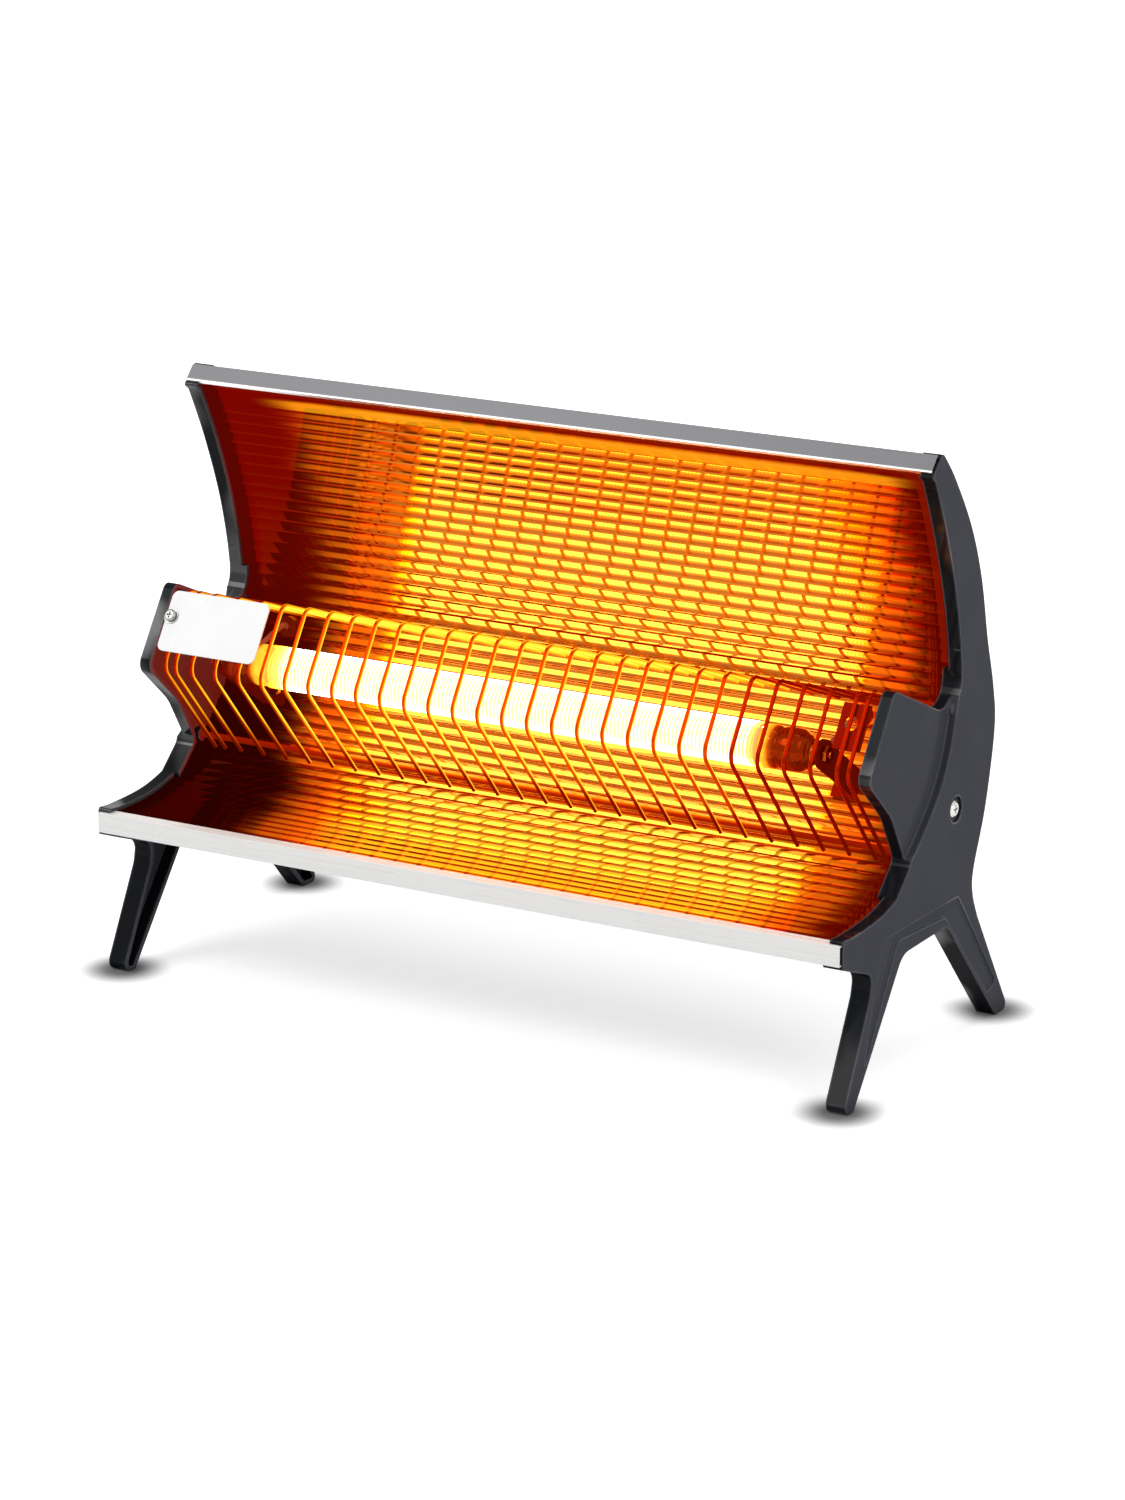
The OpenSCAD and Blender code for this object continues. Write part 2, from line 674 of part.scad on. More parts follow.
coil_path = concat(
    [coil_first + coil_bend_r * first_dir - [coil_bend_r + coil_wire_d, 0, 0]],
    [for (f = bend_steps) coil_first + coil_bend_r * sin(90 * f) * first_dir
        - [coil_bend_r * (1 - cos(90 * f)), 0, 0]],
    [for (k = [0 : coil_steps]) helix(k)],
    [for (f = reversed(bend_steps)) coil_last + coil_bend_r * sin(90 * f) * last_dir
        + [coil_bend_r * (1 - cos(90 * f)), 0, 0]],
    [coil_last + coil_bend_r * last_dir + [coil_bend_r + coil_wire_d, 0, 0]]
);
coil_gap = min([for (k = [0 : 6 * coil_rings]) for (j = [k + coil_rings - 2 : k + coil_rings + 2])
    norm(helix(j) - helix(k))]) - coil_wire_d;
echo(least_gap_between_turns = coil_gap);
module heating_coil() {
    color([1, 0.62, 0.15])
        swept(coil_path, [for (p = coil_path) outward(p)], coil_wire_d / 2, 6);
}
module ceramic_core() {
    color([0.93, 0.90, 0.84]) difference() {
        on_element(coil_x0) cylinder(h = coil_l, r = core_r);
        on_element(coil_x0 - 1) cylinder(h = coil_l + 2, d = core_bore_d);
    }
}
module bush() {
    difference() {
        union() {
            cylinder(h = 2, r1 = bush_r - 1, r2 = bush_r);
            translate([0, 0, 2]) cylinder(h = bush_body_l - 2, r = bush_r);
            translate([0, 0, bush_body_l]) cylinder(h = 2, r1 = bush_r, r2 = bush_r - 1.6);
            cylinder(h = bush_l, r = bush_neck_r);
            translate([0, 0, bush_l - 5]) cylinder(h = 3.5, r = bush_r - 2.2);
        }
        translate([0, 0, -1]) cylinder(h = bush_l + 2, d = core_bore_d);
        translate([0, 0, bush_body_l * 0.42]) difference() {
            cylinder(h = bush_groove, r = bush_r + 1);
            translate([0, 0, -1]) cylinder(h = bush_groove + 2, r = bush_r - 1);
        }
    }
}
module right_bush() {
    color([0.95, 0.93, 0.88]) on_element(coil_x1) bush();
}
module left_bush() {
    color([0.95, 0.93, 0.88]) on_element(coil_x0) mirror([0, 0, 1]) bush();
}
tag_t = 0.8;
tag_x = coil_x1 + bush_l;               // terminal tag against the right bush
function mirrored_x(x) = 2 * coil_mid_x - x;
module at_both_ends() {
    children();
    translate([2 * coil_mid_x, 0, 0]) mirror([1, 0, 0]) children();
}
tag_len = 11;
barrel_l = 5;
barrel_d = lead_d + 1.6;
barrel_x = tag_x - barrel_d / 2 + tag_t;
lead_hole_x = barrel_x;                 // straight behind the tag
module terminal_tags() {
    color([0.80, 0.78, 0.70]) at_both_ends() difference() {
        union() {
            on_element(tag_x) cylinder(h = tag_t, r = 5);
            translate([tag_x, element[0], element[1] - 2.5]) cube([tag_t, tag_len, 5]);
            translate([barrel_x, element[0] + tag_len - 1, element[1]]) rotate([-90, 0, 0])
                cylinder(h = barrel_l + 1, d = barrel_d);
        }
        on_element(tag_x - 1) cylinder(h = 4, d = rod_d + 2 * hole_fit);
        translate([barrel_x, element[0] + tag_len, element[1]]) rotate([-90, 0, 0])
            cylinder(h = barrel_l + 1, d = lead_d + 2 * lead_fit);
    }
}
module tie_rod() {
    end = bracket_x + bracket_t + nut_t + 1.5;
    color("silver") on_element(mirrored_x(end)) cylinder(h = end - mirrored_x(end), d = rod_d);
}
module hex_nut(across, h, bore) {
    difference() {
        cylinder(h = h, d = across / cos(30), $fn = 6);
        translate([0, 0, -1]) cylinder(h = h + 2, d = bore);
    }
}
module tie_rod_nuts() {
    color("silver") at_both_ends() {
        on_element(tag_x + tag_t) hex_nut(nut_across, bracket_x - tag_x - tag_t, rod_d + 2 * shank_fit);
        on_element(bracket_x + bracket_t) hex_nut(nut_across, nut_t, rod_d + 2 * shank_fit);
    }
}

// A bracket: a flat arm from the reflector to the tie rod, with a foot on the reflector
foot_place = place(reflector_line, reflector_s, bracket_s);
foot_n = left_of(bearing(reflector_line, reflector_s, bracket_s));
foot_gap = flute_depth / 2 + reflector_t / 2 + 0.1;
arm_base = foot_place - foot_n * (foot_gap + bracket_t / 2);
arm_half_w = bracket_w / 2 - 0.5;
arm_dir = unit(element - arm_base);
foot_dir = bearing(reflector_line, reflector_s, bracket_s);
arm_end_r = 7;
module bracket() {
    side = left_of(arm_dir);
    difference() {
        union() {
            along_x(bracket_x, bracket_x + bracket_t) {
                polygon([arm_base + foot_dir * arm_half_w, arm_base - foot_dir * arm_half_w,
                    element - side * arm_end_r, element + side * arm_end_r]);
                translate(element) circle(r = arm_end_r);
            }
            stand_on(reflector_line, reflector_s, bracket_s, bracket_x - foot_l)
                translate([0, -bracket_w / 2, -foot_gap - bracket_t])
                    cube([foot_l + bracket_t / 2, bracket_w, bracket_t]);
        }
        on_element(bracket_x - 5) cylinder(h = 10, d = rod_d + 2 * hole_fit);
        stand_on(reflector_line, reflector_s, bracket_s, foot_x)
            translate([0, 0, -10]) cylinder(h = 20, d = bracket_screw_d + 2 * hole_fit);
    }
}
module element_brackets() {
    color([0.70, 0.70, 0.68]) at_both_ends() bracket();
}
bracket_nut_across = 5.5;
bracket_nut_t = 2.4;
module bracket_screws() {
    color("silver") at_both_ends()
        stand_on(reflector_line, reflector_s, bracket_s, foot_x) mirror([0, 0, 1]) {
            translate([0, 0, foot_gap + bracket_t]) pan_head(6, 2);
            translate([0, 0, -foot_gap - bracket_nut_t - 1])
                cylinder(h = 2 * foot_gap + bracket_t + bracket_nut_t + 1.2, d = bracket_screw_d);
        }
}
module bracket_nuts() {
    color("silver") at_both_ends()
        stand_on(reflector_line, reflector_s, bracket_s, foot_x)
            translate([0, 0, foot_gap - 0.1])
                hex_nut(bracket_nut_across, bracket_nut_t, bracket_screw_d + 2 * shank_fit);
}

// ---------- wiring ----------

block_x = -60;
block_y = 22;
block_l = 44;
block_w = 17;
block_h = 15;
block_screw_d = 3;
block_screw_x = [-11, 11];
block_z = cover_z + cover_t / 2;
pole_d = lead_d + 2 * lead_fit;
pole_up = 4.5;
module terminal_block() {
    color([0.92, 0.90, 0.84]) difference() {
        translate([block_x - block_l / 2, block_y - block_w / 2, block_z]) {
            cube([block_l, block_w, block_h * 0.6]);
            for (i = [0 : 2]) translate([i * block_l / 3 + 2, 3, 0])
                cube([block_l / 3 - 4, block_w - 6, block_h]);
        }
        for (i = [-1 : 1]) {
            translate([block_x + i * block_l / 3, block_y - block_w, block_z + pole_up]) rotate([-90, 0, 0])
                cylinder(h = 2 * block_w, d = pole_d);
            translate([block_x + i * block_l / 3, block_y, block_z + pole_up]) cylinder(h = block_h, d = 3.4);
        }
        for (x = block_screw_x) translate([block_x + x * 0.67, block_y, block_z - 1])
            cylinder(h = block_h, d = block_screw_d + 2 * hole_fit);
    }
}
module block_screws() {
    color("silver") for (x = block_screw_x) translate([block_x + x * 0.67, block_y, 0]) {
        translate([0, 0, block_z + block_h * 0.6]) pan_head(3.8, 1.6);
        translate([0, 0, cover_z - 3]) cylinder(h = block_h * 0.6 + 3.5, d = block_screw_d);
    }
}
earth_x = 0;
earth_y = 22;
earth_screw_d = 4;
earth_barrel_z = block_z + 0.3 + barrel_d / 2;
module earth_tag() {
    color([0.80, 0.70, 0.35]) difference() {
        union() {
            translate([earth_x, earth_y, block_z]) cylinder(h = 1, r = 4.2);
            translate([earth_x - 13, earth_y - 2, block_z]) cube([12, 4, 1]);
            translate([earth_x - 17, earth_y, earth_barrel_z]) rotate([0, 90, 0])
                cylinder(h = barrel_l, d = barrel_d);
        }
        translate([earth_x, earth_y, block_z - 1]) cylinder(h = 3, d = earth_screw_d + 2 * hole_fit);
        translate([earth_x - 18, earth_y, earth_barrel_z]) rotate([0, 90, 0])
            cylinder(h = barrel_l, d = lead_d + 2 * lead_fit);
    }
}
module earth_screw() {
    color("silver") translate([earth_x, earth_y, 0]) {
        translate([0, 0, block_z + 1]) pan_head(7, 2.2);
        translate([0, 0, cover_z - 3]) cylinder(h = 4.5 + cover_t / 2, d = earth_screw_d);
    }
}

// Leads run behind the reflector from the block to the element's tags
lead_sides = 8;
module lead(keys) {
    path = smooth(keys, 4);
    swept(path, [for (p = path) [0.12, 0.31, 1]], lead_d / 2, lead_sides);
}
module lead_bushes() {
    color([0.95, 0.93, 0.88]) at_both_ends()
        stand_on(reflector_line, reflector_s, lead_hole_s, lead_hole_x) difference() {
            union() {
                translate([0, 0, -4]) cylinder(h = 8, d = lead_bush_d);
                translate([0, 0, -4]) cylinder(h = 4 - foot_gap - 0.2, d = lead_bush_d + 3);
            }
            translate([0, 0, -5]) cylinder(h = 10, d = lead_d + 2 * lead_fit);
        }
}
lead_hole = place(reflector_line, reflector_s, lead_hole_s);
lead_axis = left_of(bearing(reflector_line, reflector_s, lead_hole_s));
pole_y = block_y + block_w / 2;         // back face of the block
pole_z = block_z + pole_up;
function through_bush(x) = [for (d = [-9, -4, 0, 4, 9])
    [x, lead_hole[0] + d * lead_axis[0], lead_hole[1] + d * lead_axis[1]]];
function from_tag(x) = [for (d = [1, 5, 10]) [x, element[0] + tag_len + d, element[1]]];
function into_block(x) = [for (d = [8, 4, 0.5, -4]) [x, pole_y + d, pole_z]];
right_lead_keys = concat(
    from_tag(barrel_x), through_bush(lead_hole_x),
    [[lead_hole_x - 16, 50, 125], [lead_hole_x - 39, 46, 104], [lead_hole_x - 76, 41, 94],
        [block_x + 70, 38, 92], [block_x + 26, 38, 90]],
    into_block(block_x)
);
left_lead_keys = concat(
    from_tag(mirrored_x(barrel_x)), through_bush(mirrored_x(lead_hole_x)),
    [[mirrored_x(lead_hole_x) + 16, 50, 125], [mirrored_x(lead_hole_x) + 32, 44, 102],
        [block_x - block_l / 3 - 29, 38, 88]],
    into_block(block_x - block_l / 3)
);
earth_lead_keys = concat(
    reversed(into_block(block_x + block_l / 3)),
    [[-36, 38, pole_z], [-27, 27, earth_barrel_z], [earth_x - 20, earth_y, earth_barrel_z],
        [earth_x - 14, earth_y, earth_barrel_z]]
);
module left_element_lead() {
    color([0.2, 0.35, 0.7]) lead(left_lead_keys);
}
module right_element_lead() {
    color([0.5, 0.3, 0.15]) lead(right_lead_keys);
}
module earth_lead() {
    color([0.35, 0.6, 0.25]) lead(earth_lead_keys);
}

gland_neck_d = 11;
module cord_gland() {
    color([0.08, 0.08, 0.09]) stand_on(cover_line, cover_s, gland_s, gland_x) difference() {
        union() {
            translate([0, 0, cover_t / 2]) cylinder(h = 3, d = gland_d);
            translate([0, 0, cover_t / 2 + 3]) cylinder(h = 5, d1 = gland_d - 3, d2 = gland_neck_d + 1);
            translate([0, 0, -4]) cylinder(h = 5, d = gland_neck_d);
            translate([0, 0, -4 - cover_t / 2]) cylinder(h = 4, d = gland_neck_d + 3);
        }
        translate([0, 0, -far / 2]) cylinder(h = far, d = gland_bore_d);
    }
}

left_end_frame();
right_end_frame();
left_end_plate();
right_end_plate();
reflector();
back_cover();
top_trim();
bottom_trim();
guard_wires();
guard_top_rail();
guard_bottom_rail();
guard_tabs();
name_plate();
name_plate_screw();
ceramic_core();
heating_coil();
left_bush();
right_bush();
tie_rod();
tie_rod_nuts();
terminal_tags();
element_brackets();
bracket_screws();
bracket_nuts();
lead_bushes();
left_element_lead();
right_element_lead();
terminal_block();
block_screws();
earth_lead();
earth_tag();
earth_screw();
cord_gland();
side_screws();
back_cover_screws();
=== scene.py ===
# %% [markdown]
# # A one-bar electric heater, dressed
#
# The solids of the heater come packed from the CAD side, in metres, with the floor at Z = 0. This file
# leaves their places alone and gives them what a camera sees: fine flutes, smooth wires, a wound
# glowing element, rounded edges, and finishes that carry grain and wear.
#
# The first cell loads the solids.

import math

import bmesh
import bpy
import numpy as np
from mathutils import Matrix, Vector


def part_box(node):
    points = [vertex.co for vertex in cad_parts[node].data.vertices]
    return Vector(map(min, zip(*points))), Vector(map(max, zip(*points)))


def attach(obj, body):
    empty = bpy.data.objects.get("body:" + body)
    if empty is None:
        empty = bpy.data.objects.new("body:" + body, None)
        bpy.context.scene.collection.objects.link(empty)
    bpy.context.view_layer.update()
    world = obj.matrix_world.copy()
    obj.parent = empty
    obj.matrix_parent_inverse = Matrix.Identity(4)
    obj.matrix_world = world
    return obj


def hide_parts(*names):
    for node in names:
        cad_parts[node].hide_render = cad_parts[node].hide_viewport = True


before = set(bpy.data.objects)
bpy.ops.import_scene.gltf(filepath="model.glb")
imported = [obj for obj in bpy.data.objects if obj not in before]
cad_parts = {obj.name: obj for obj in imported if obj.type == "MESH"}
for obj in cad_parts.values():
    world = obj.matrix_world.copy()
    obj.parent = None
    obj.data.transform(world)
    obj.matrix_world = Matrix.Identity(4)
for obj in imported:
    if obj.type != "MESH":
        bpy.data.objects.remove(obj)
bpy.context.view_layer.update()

# %% [markdown]
# ## The camera
#
# A long lens from the front right and a little above, as for a catalogue. Its place was solved from the
# straight edges of the two trims and the feet, so every other measure rests on it. The sensor is fitted
# to the height of the frame, because the picture is upright.

# %% Camera
camera_at = Vector((1.06602, -1.82451, 0.74363))
camera_aim = Vector((0.00254, 0.0094, 0.11904))
camera_data = bpy.data.cameras.new("camera")
camera_data.sensor_fit = "VERTICAL"
camera_data.sensor_height = 24.0
camera_data.lens = 74.257
camera = bpy.data.objects.new("camera", camera_data)
camera.location = camera_at
camera.rotation_mode = "QUATERNION"
camera.rotation_quaternion = (camera_aim - camera_at).to_track_quat("-Z", "Y")
bpy.context.scene.collection.objects.link(camera)
bpy.context.scene.camera = camera
bpy.context.scene.view_settings.view_transform = "Standard"
print("camera distance:", round((camera_aim - camera_at).length, 3))

# %% [markdown]
# ## Maths on sockets
#
# A finish is arithmetic on patterns. Writing it as Python expressions keeps it readable: a `Value` wraps
# one output socket, and adding or multiplying it by a number or another `Value` places a Math node.
# Colours never go through Math nodes, which would turn them grey, so they have `mix`.


# %% Value: a socket that can be added and multiplied
def operator(name):
    """The method for value + other and its reflected form for other + value, as the Math node of that name."""

    def plain(value, other):
        return value.maker.node("ShaderNodeMath", {"operation": name}, {0: value, 1: other})

    def reflected(value, other):
        return value.maker.node("ShaderNodeMath", {"operation": name}, {0: other, 1: value})

    return plain, reflected


class Value:
    """One output socket in a tree of nodes. Each operator adds a Math node and returns its output."""

    __add__, __radd__ = operator("ADD")
    __sub__, __rsub__ = operator("SUBTRACT")
    __mul__, __rmul__ = operator("MULTIPLY")
    __truediv__, __rtruediv__ = operator("DIVIDE")
    __pow__, __rpow__ = operator("POWER")

    def __init__(self, maker, socket):
        self.maker, self.socket = maker, socket

    def math(self, operation, *others):
        inputs = dict(enumerate((self, *others)))
        return self.maker.node("ShaderNodeMath", {"operation": operation}, inputs)

    def ramp(self, low, high):
        """0 below low, 1 above high, smooth between."""
        settings = {"interpolation_type": "SMOOTHSTEP"}
        inputs = {"Value": self, "From Min": low, "From Max": high}
        return self.maker.node("ShaderNodeMapRange", settings, inputs)


# %% [markdown]
# Every node comes from one method, which takes its type, its settings and what its sockets get. The world's
# background needs the same method as the finishes, so it belongs to a class of its own, `Nodes`.


# %% Nodes: one way to add any node
class Nodes:
    """A tree of nodes. Colours are given as (red, green, blue)."""

    def __init__(self, tree):
        self.tree = tree

    def node(self, kind, settings, inputs, output=0):
        made = self.tree.nodes.new(kind)
        for key, setting in settings.items():
            if key == "stops":
                self.set_stops(made.color_ramp, setting)
            else:
                setattr(made, key, setting)
        for key, given in inputs.items():
            self.join(made.inputs[key], given)
        return Value(self, made.outputs[output])

    def set_stops(self, ramp, stops):
        while len(ramp.elements) < len(stops):
            ramp.elements.new(1.0)
        for element, (place, colour) in zip(ramp.elements, stops):
            element.position, element.color = place, (*colour, 1.0)

    def join(self, socket, given):
        """Links a Value to the socket, or sets the socket's constant."""
        if isinstance(given, Value):
            self.tree.links.new(given.socket, socket)
        else:
            socket.default_value = (*given, 1.0) if socket.type == "RGBA" else given

    def parts(self, vector):
        """The x, y and z of a vector."""
        split = self.node("ShaderNodeSeparateXYZ", {}, {0: vector}).socket.node
        return [Value(self, out) for out in split.outputs]

    def seen(self):
        """1 for what is seen, straight or in gloss or glass, and 0 for the light that falls on things."""
        ways = ("Is Camera Ray", "Is Glossy Ray", "Is Transmission Ray")
        eye, gloss, glass = (self.node("ShaderNodeLightPath", {}, {}, way) for way in ways)
        return eye.math("MAXIMUM", gloss).math("MAXIMUM", glass)


# %% [markdown]
# A finish is a material with one Principled shader. The helpers below are the patterns that the finishes
# share: the place of a point on its piece, the way it faces, noise, mixed colours and small bumps.


# %% Finish: a material and its shader
class Finish(Nodes):
    """A material with one Principled shader. give(Base_Color=...) sets or links the shader's Base Color."""

    def __init__(self, name):
        self.material = bpy.data.materials.new(name)
        self.material.use_nodes = True
        super().__init__(self.material.node_tree)
        self.shader = self.tree.nodes["Principled BSDF"]

    def give(self, **inputs):
        for key, given in inputs.items():
            self.join(self.shader.inputs[key.replace("_", " ")], given)
        return self

    def place(self):
        """Object coordinates, and their x, y and z in metres."""
        spot = self.node("ShaderNodeTexCoord", {}, {}, "Object")
        return spot, self.parts(spot)

    def facing(self):
        """The direction in which the surface faces, in the piece's own axes."""
        return self.node("ShaderNodeTexCoord", {}, {}, "Normal")

    def noise(self, spot, scale, detail=3.0, stretch=(1, 1, 1), roughness=0.5):
        mapped = self.node("ShaderNodeMapping", {}, {"Vector": spot, "Scale": stretch})
        inputs = {"Vector": mapped, "Scale": scale, "Detail": detail, "Roughness": roughness}
        return self.node("ShaderNodeTexNoise", {}, inputs)

    def mix(self, factor, first, second):
        """first where factor is 0, second where it is 1, as colours."""
        return self.node("ShaderNodeMix", {"data_type": "RGBA"}, {0: factor, 6: first, 7: second}, 2)

    def colours(self, factor, *stops):
        return self.node("ShaderNodeValToRGB", {"stops": stops}, {0: factor})

    def bump(self, height, strength, distance, **more):
        inputs = {"Strength": strength, "Distance": distance, "Height": height, **more}
        return self.give(Normal=self.node("ShaderNodeBump", {}, inputs))


def tell(*finishes):
    """Prints how many nodes each finish took."""
    print("nodes:", {finish.material.name: len(finish.tree.nodes) for finish in finishes})


print("helpers ready:", [name for name in {**vars(Nodes), **vars(Finish)} if not name.startswith("_")])

# %% [markdown]
# ## Surfaces from arrays
#
# Nearly every new piece is a grid of points: rows run along the piece and columns go round it. One
# helper joins such a grid into faces, closing it either way or capping its ends.


# %% Grid to mesh
def grid_mesh(name, points, round_rows=False, round_columns=False, capped=False, uv=None):
    """A mesh from points[row, column]. round_rows and round_columns join the last back to the first, and capped
    closes both end rows."""
    rows, columns, _ = points.shape
    index = np.arange(rows * columns).reshape(rows, columns)
    down = np.vstack([index, index[:1]]) if round_rows else index
    both = np.hstack([down, down[:, :1]]) if round_columns else down
    quads = np.stack([both[:-1, :-1], both[:-1, 1:], both[1:, 1:], both[1:, :-1]], axis=-1)
    faces = quads.reshape(-1, 4).tolist()
    if capped:
        faces += [index[0, ::-1].tolist(), index[-1].tolist()]
    mesh = bpy.data.meshes.new(name)
    mesh.from_pydata(points.reshape(-1, 3).tolist(), [], faces)
    if uv is not None:
        layer = mesh.uv_layers.new(name="spread")
        corners = np.zeros(len(mesh.loops), np.int32)
        mesh.loops.foreach_get("vertex_index", corners)
        layer.data.foreach_set("uv", uv.reshape(-1, 2)[corners].ravel())
    mesh.update()
    return mesh


def piece_of(mesh, replaced, finish, smooth=True, face_out=True):
    """Links the mesh as a piece of the heater that stands for the solids named in `replaced`."""
    if face_out:
        shell = bmesh.new()
        shell.from_mesh(mesh)
        bmesh.ops.recalc_face_normals(shell, faces=shell.faces)
        shell.to_mesh(mesh)
        shell.free()
    if smooth:
        mesh.shade_smooth()
    piece = bpy.data.objects.new(mesh.name, mesh)
    bpy.context.scene.collection.objects.link(piece)
    mesh.materials.append(finish.material)
    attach(piece, "root")
    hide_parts(*replaced)
    print(f"{mesh.name}: {len(mesh.polygons)} faces")
    return piece


# %% [markdown]
# ## Tubes along a path
#
# Wires, leads and the winding are one idea: a circle carried along a line. The circle's own axes are
# found from the line's direction and a fixed "up" that the line never points along.


# %% Tube
def tube_points(path, radius, sides, up):
    """Rings round a path: each is its point + radius * (cos a * side + sin a * top), for a round the circle."""
    along = np.gradient(path, axis=0)
    along /= np.linalg.norm(along, axis=1, keepdims=True)
    side = np.cross(along, up)
    side /= np.linalg.norm(side, axis=1, keepdims=True)
    top = np.cross(side, along)
    angle = np.linspace(0, 2 * np.pi, sides, endpoint=False)
    wheel = np.cos(angle)[:, None] * side[:, None, :] + np.sin(angle)[:, None] * top[:, None, :]
    return path[:, None, :] + radius * wheel


def smooth_through(keys, steps):
    """A Catmull-Rom line through the keys: on each span from b to c, a cubic that leaves b with half the slope
    from a to c and reaches c with half the slope from b to d."""
    keys = np.asarray(keys, float)
    padded = np.vstack([keys[:1], keys, keys[-1:]])
    t = np.linspace(0, 1, steps, endpoint=False)[None, :, None]
    a, b, c, d = (padded[i : len(keys) - 1 + i, None, :] for i in range(4))
    curve = 0.5 * (2 * b + (c - a) * t + (2 * a - 5 * b + 4 * c - d) * t**2 + (3 * b - a - 3 * c + d) * t**3)
    return np.vstack([curve.reshape(-1, keys.shape[1]), keys[-1:]])


def lathe_points(profile, axis_at, sides):
    """A profile of (x, radius) turned about a line along X through axis_at, as (y, z)."""
    angle = np.linspace(0, 2 * np.pi, sides, endpoint=False)
    x, r = profile[:, :1], profile[:, 1:]
    y = axis_at[0] + r * np.sin(angle)[None, :]
    z = axis_at[1] + r * np.cos(angle)[None, :]
    return np.stack([np.broadcast_to(x, y.shape), y, z], axis=-1)


# %% [markdown]
# ## Where the heat is
#
# The winding lies along X. Several finishes redden near it, and the reflector is bent to throw its light
# into the room, so its measures come first: the axis in Y and Z, the two ends, and the way to the room,
# which is forwards and a little up.

# %% The element's place
element_at = 0.001 * np.array([-20.6, 147.5])
coil_low, coil_high = -0.143, 0.127
coil_middle, coil_half = (coil_low + coil_high) / 2, (coil_high - coil_low) / 2
coil_radius, turn_radius = 0.0098, 0.00075
room_way = np.array([-0.951, 0.309])


def from_axis(y, z):
    """The distance from the element's axis: the square root of the two offsets squared."""
    return ((y - element_at[0]) ** 2 + (z - element_at[1]) ** 2).math("SQRT")


def past_winding(x):
    """How far x lies past the nearer end of the winding, below 0 over the winding."""
    return (x - coil_middle).math("ABSOLUTE") - coil_half


print("winding:", round(1000 * (coil_high - coil_low)), "mm long, middle at X", round(1000 * coil_middle), "mm")

# %% [markdown]
# ## Rounded edges
#
# The end frames, trims and plates are right as solids, but a real casting or pressing has no razor edge:
# a thin bright line runs along each one. A copy of the solid is merged, its flat faces are rejoined, and
# a Bevel modifier rounds the sharp edges.
#
# The cheek of a frame is sunk below its outer face, and the enamel runs smoothly over the fold between
# them. The faces of that fold are found from their place, and marked in an attribute that the enamel reads.

# %% Which faces lie in a fold
screw_low, screw_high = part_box("side_screws")
screw_at = (screw_low + screw_high) / 2
cheek_recess = 0.004
cheek_x = max(abs(corner.x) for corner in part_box("right_end_frame")) - cheek_recess
fold_low, fold_high = 0.1, 0.192
pocket_reach = 0.012


def fold_faces(mesh):
    """True for each face that turns away from X and lies wholly outside the cheek, between the heights of the
    fold, and not in the screw's pocket."""
    place = np.array([face.center for face in mesh.polygons])
    turned = np.array([abs(face.normal.x) < 0.7 for face in mesh.polygons])
    inmost = np.array([min(abs(mesh.vertices[i].co.x) for i in face.vertices) for face in mesh.polygons])
    at_height = (place[:, 2] > fold_low) & (place[:, 2] < fold_high)
    from_screw = np.hypot(place[:, 1] - screw_at.y, place[:, 2] - screw_at.z)
    return turned & (inmost > cheek_x - 0.0002) & at_height & (from_screw > pocket_reach)


print("cheek at X:", round(cheek_x, 4), "screw at Z:", round(screw_at.z, 4))


# %% Rounded copy of a solid
def rounded_copy(node, width, finish, segments=2, sharp=28):
    """A copy of a CAD node with every edge sharper than `sharp` degrees rounded to `width` metres."""
    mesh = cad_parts[node].data.copy()
    mesh.name = node + "_rounded"
    mesh.materials.clear()
    shell = bmesh.new()
    shell.from_mesh(mesh)
    bmesh.ops.remove_doubles(shell, verts=shell.verts, dist=2e-6)
    flat = math.radians(0.15)
    bmesh.ops.dissolve_limit(shell, angle_limit=flat, verts=shell.verts, edges=shell.edges)
    for edge in shell.edges:
        edge.smooth = edge.calc_face_angle(0) < math.radians(sharp)
    shell.to_mesh(mesh)
    shell.free()
    for face in mesh.polygons:
        face.use_smooth = True
    folds = mesh.attributes.new("fold", "FLOAT", "FACE")
    folds.data.foreach_set("value", fold_faces(mesh).astype(np.float32))
    piece = piece_of(mesh, [node], finish, smooth=False, face_out=False)
    bevel = piece.modifiers.new("round", "BEVEL")
    bevel.width, bevel.segments = width, segments
    bevel.limit_method, bevel.angle_limit = "ANGLE", math.radians(sharp)
    bevel.use_clamp_overlap = True
    bevel.harden_normals = True
    return piece


# %% [markdown]
# ## Finish: dark enamel
#
# The end frames are castings under thick dark grey enamel. Their flat sides are satin, and the narrow
# rims, which were dipped and drained, are glossy in patches. The rims' near-black tone is a painted
# reflection of dark surroundings in their gloss, and a lighter line along the edges between is a painted
# highlight. The side that a point belongs to is read from the direction in which the surface faces,
# softened over two millimetres by a Bevel node. A slow noise drifts the tone, and a fine one is the ripple.
#
# The inner faces near the element take some of its red light, painted on as a faint red glow. Only those in
# front of the reflector do, as the sheet keeps the light from the rest.


# %% Dark enamel
def red_from_bar(finish, x, y, z):
    """1 where a face turned to the middle of the heater lies close to the element and before the sheet."""
    outwards = finish.parts(finish.facing())[0]
    inwards = 1.0 - (outwards * x.math("SIGN")).ramp(-0.8, -0.3)
    before_sheet = z.ramp(0.085, 0.092) * (1.0 - y.ramp(0.022, 0.030))
    return inwards * before_sheet * (1.0 - from_axis(y, z).ramp(0.05, 0.14))


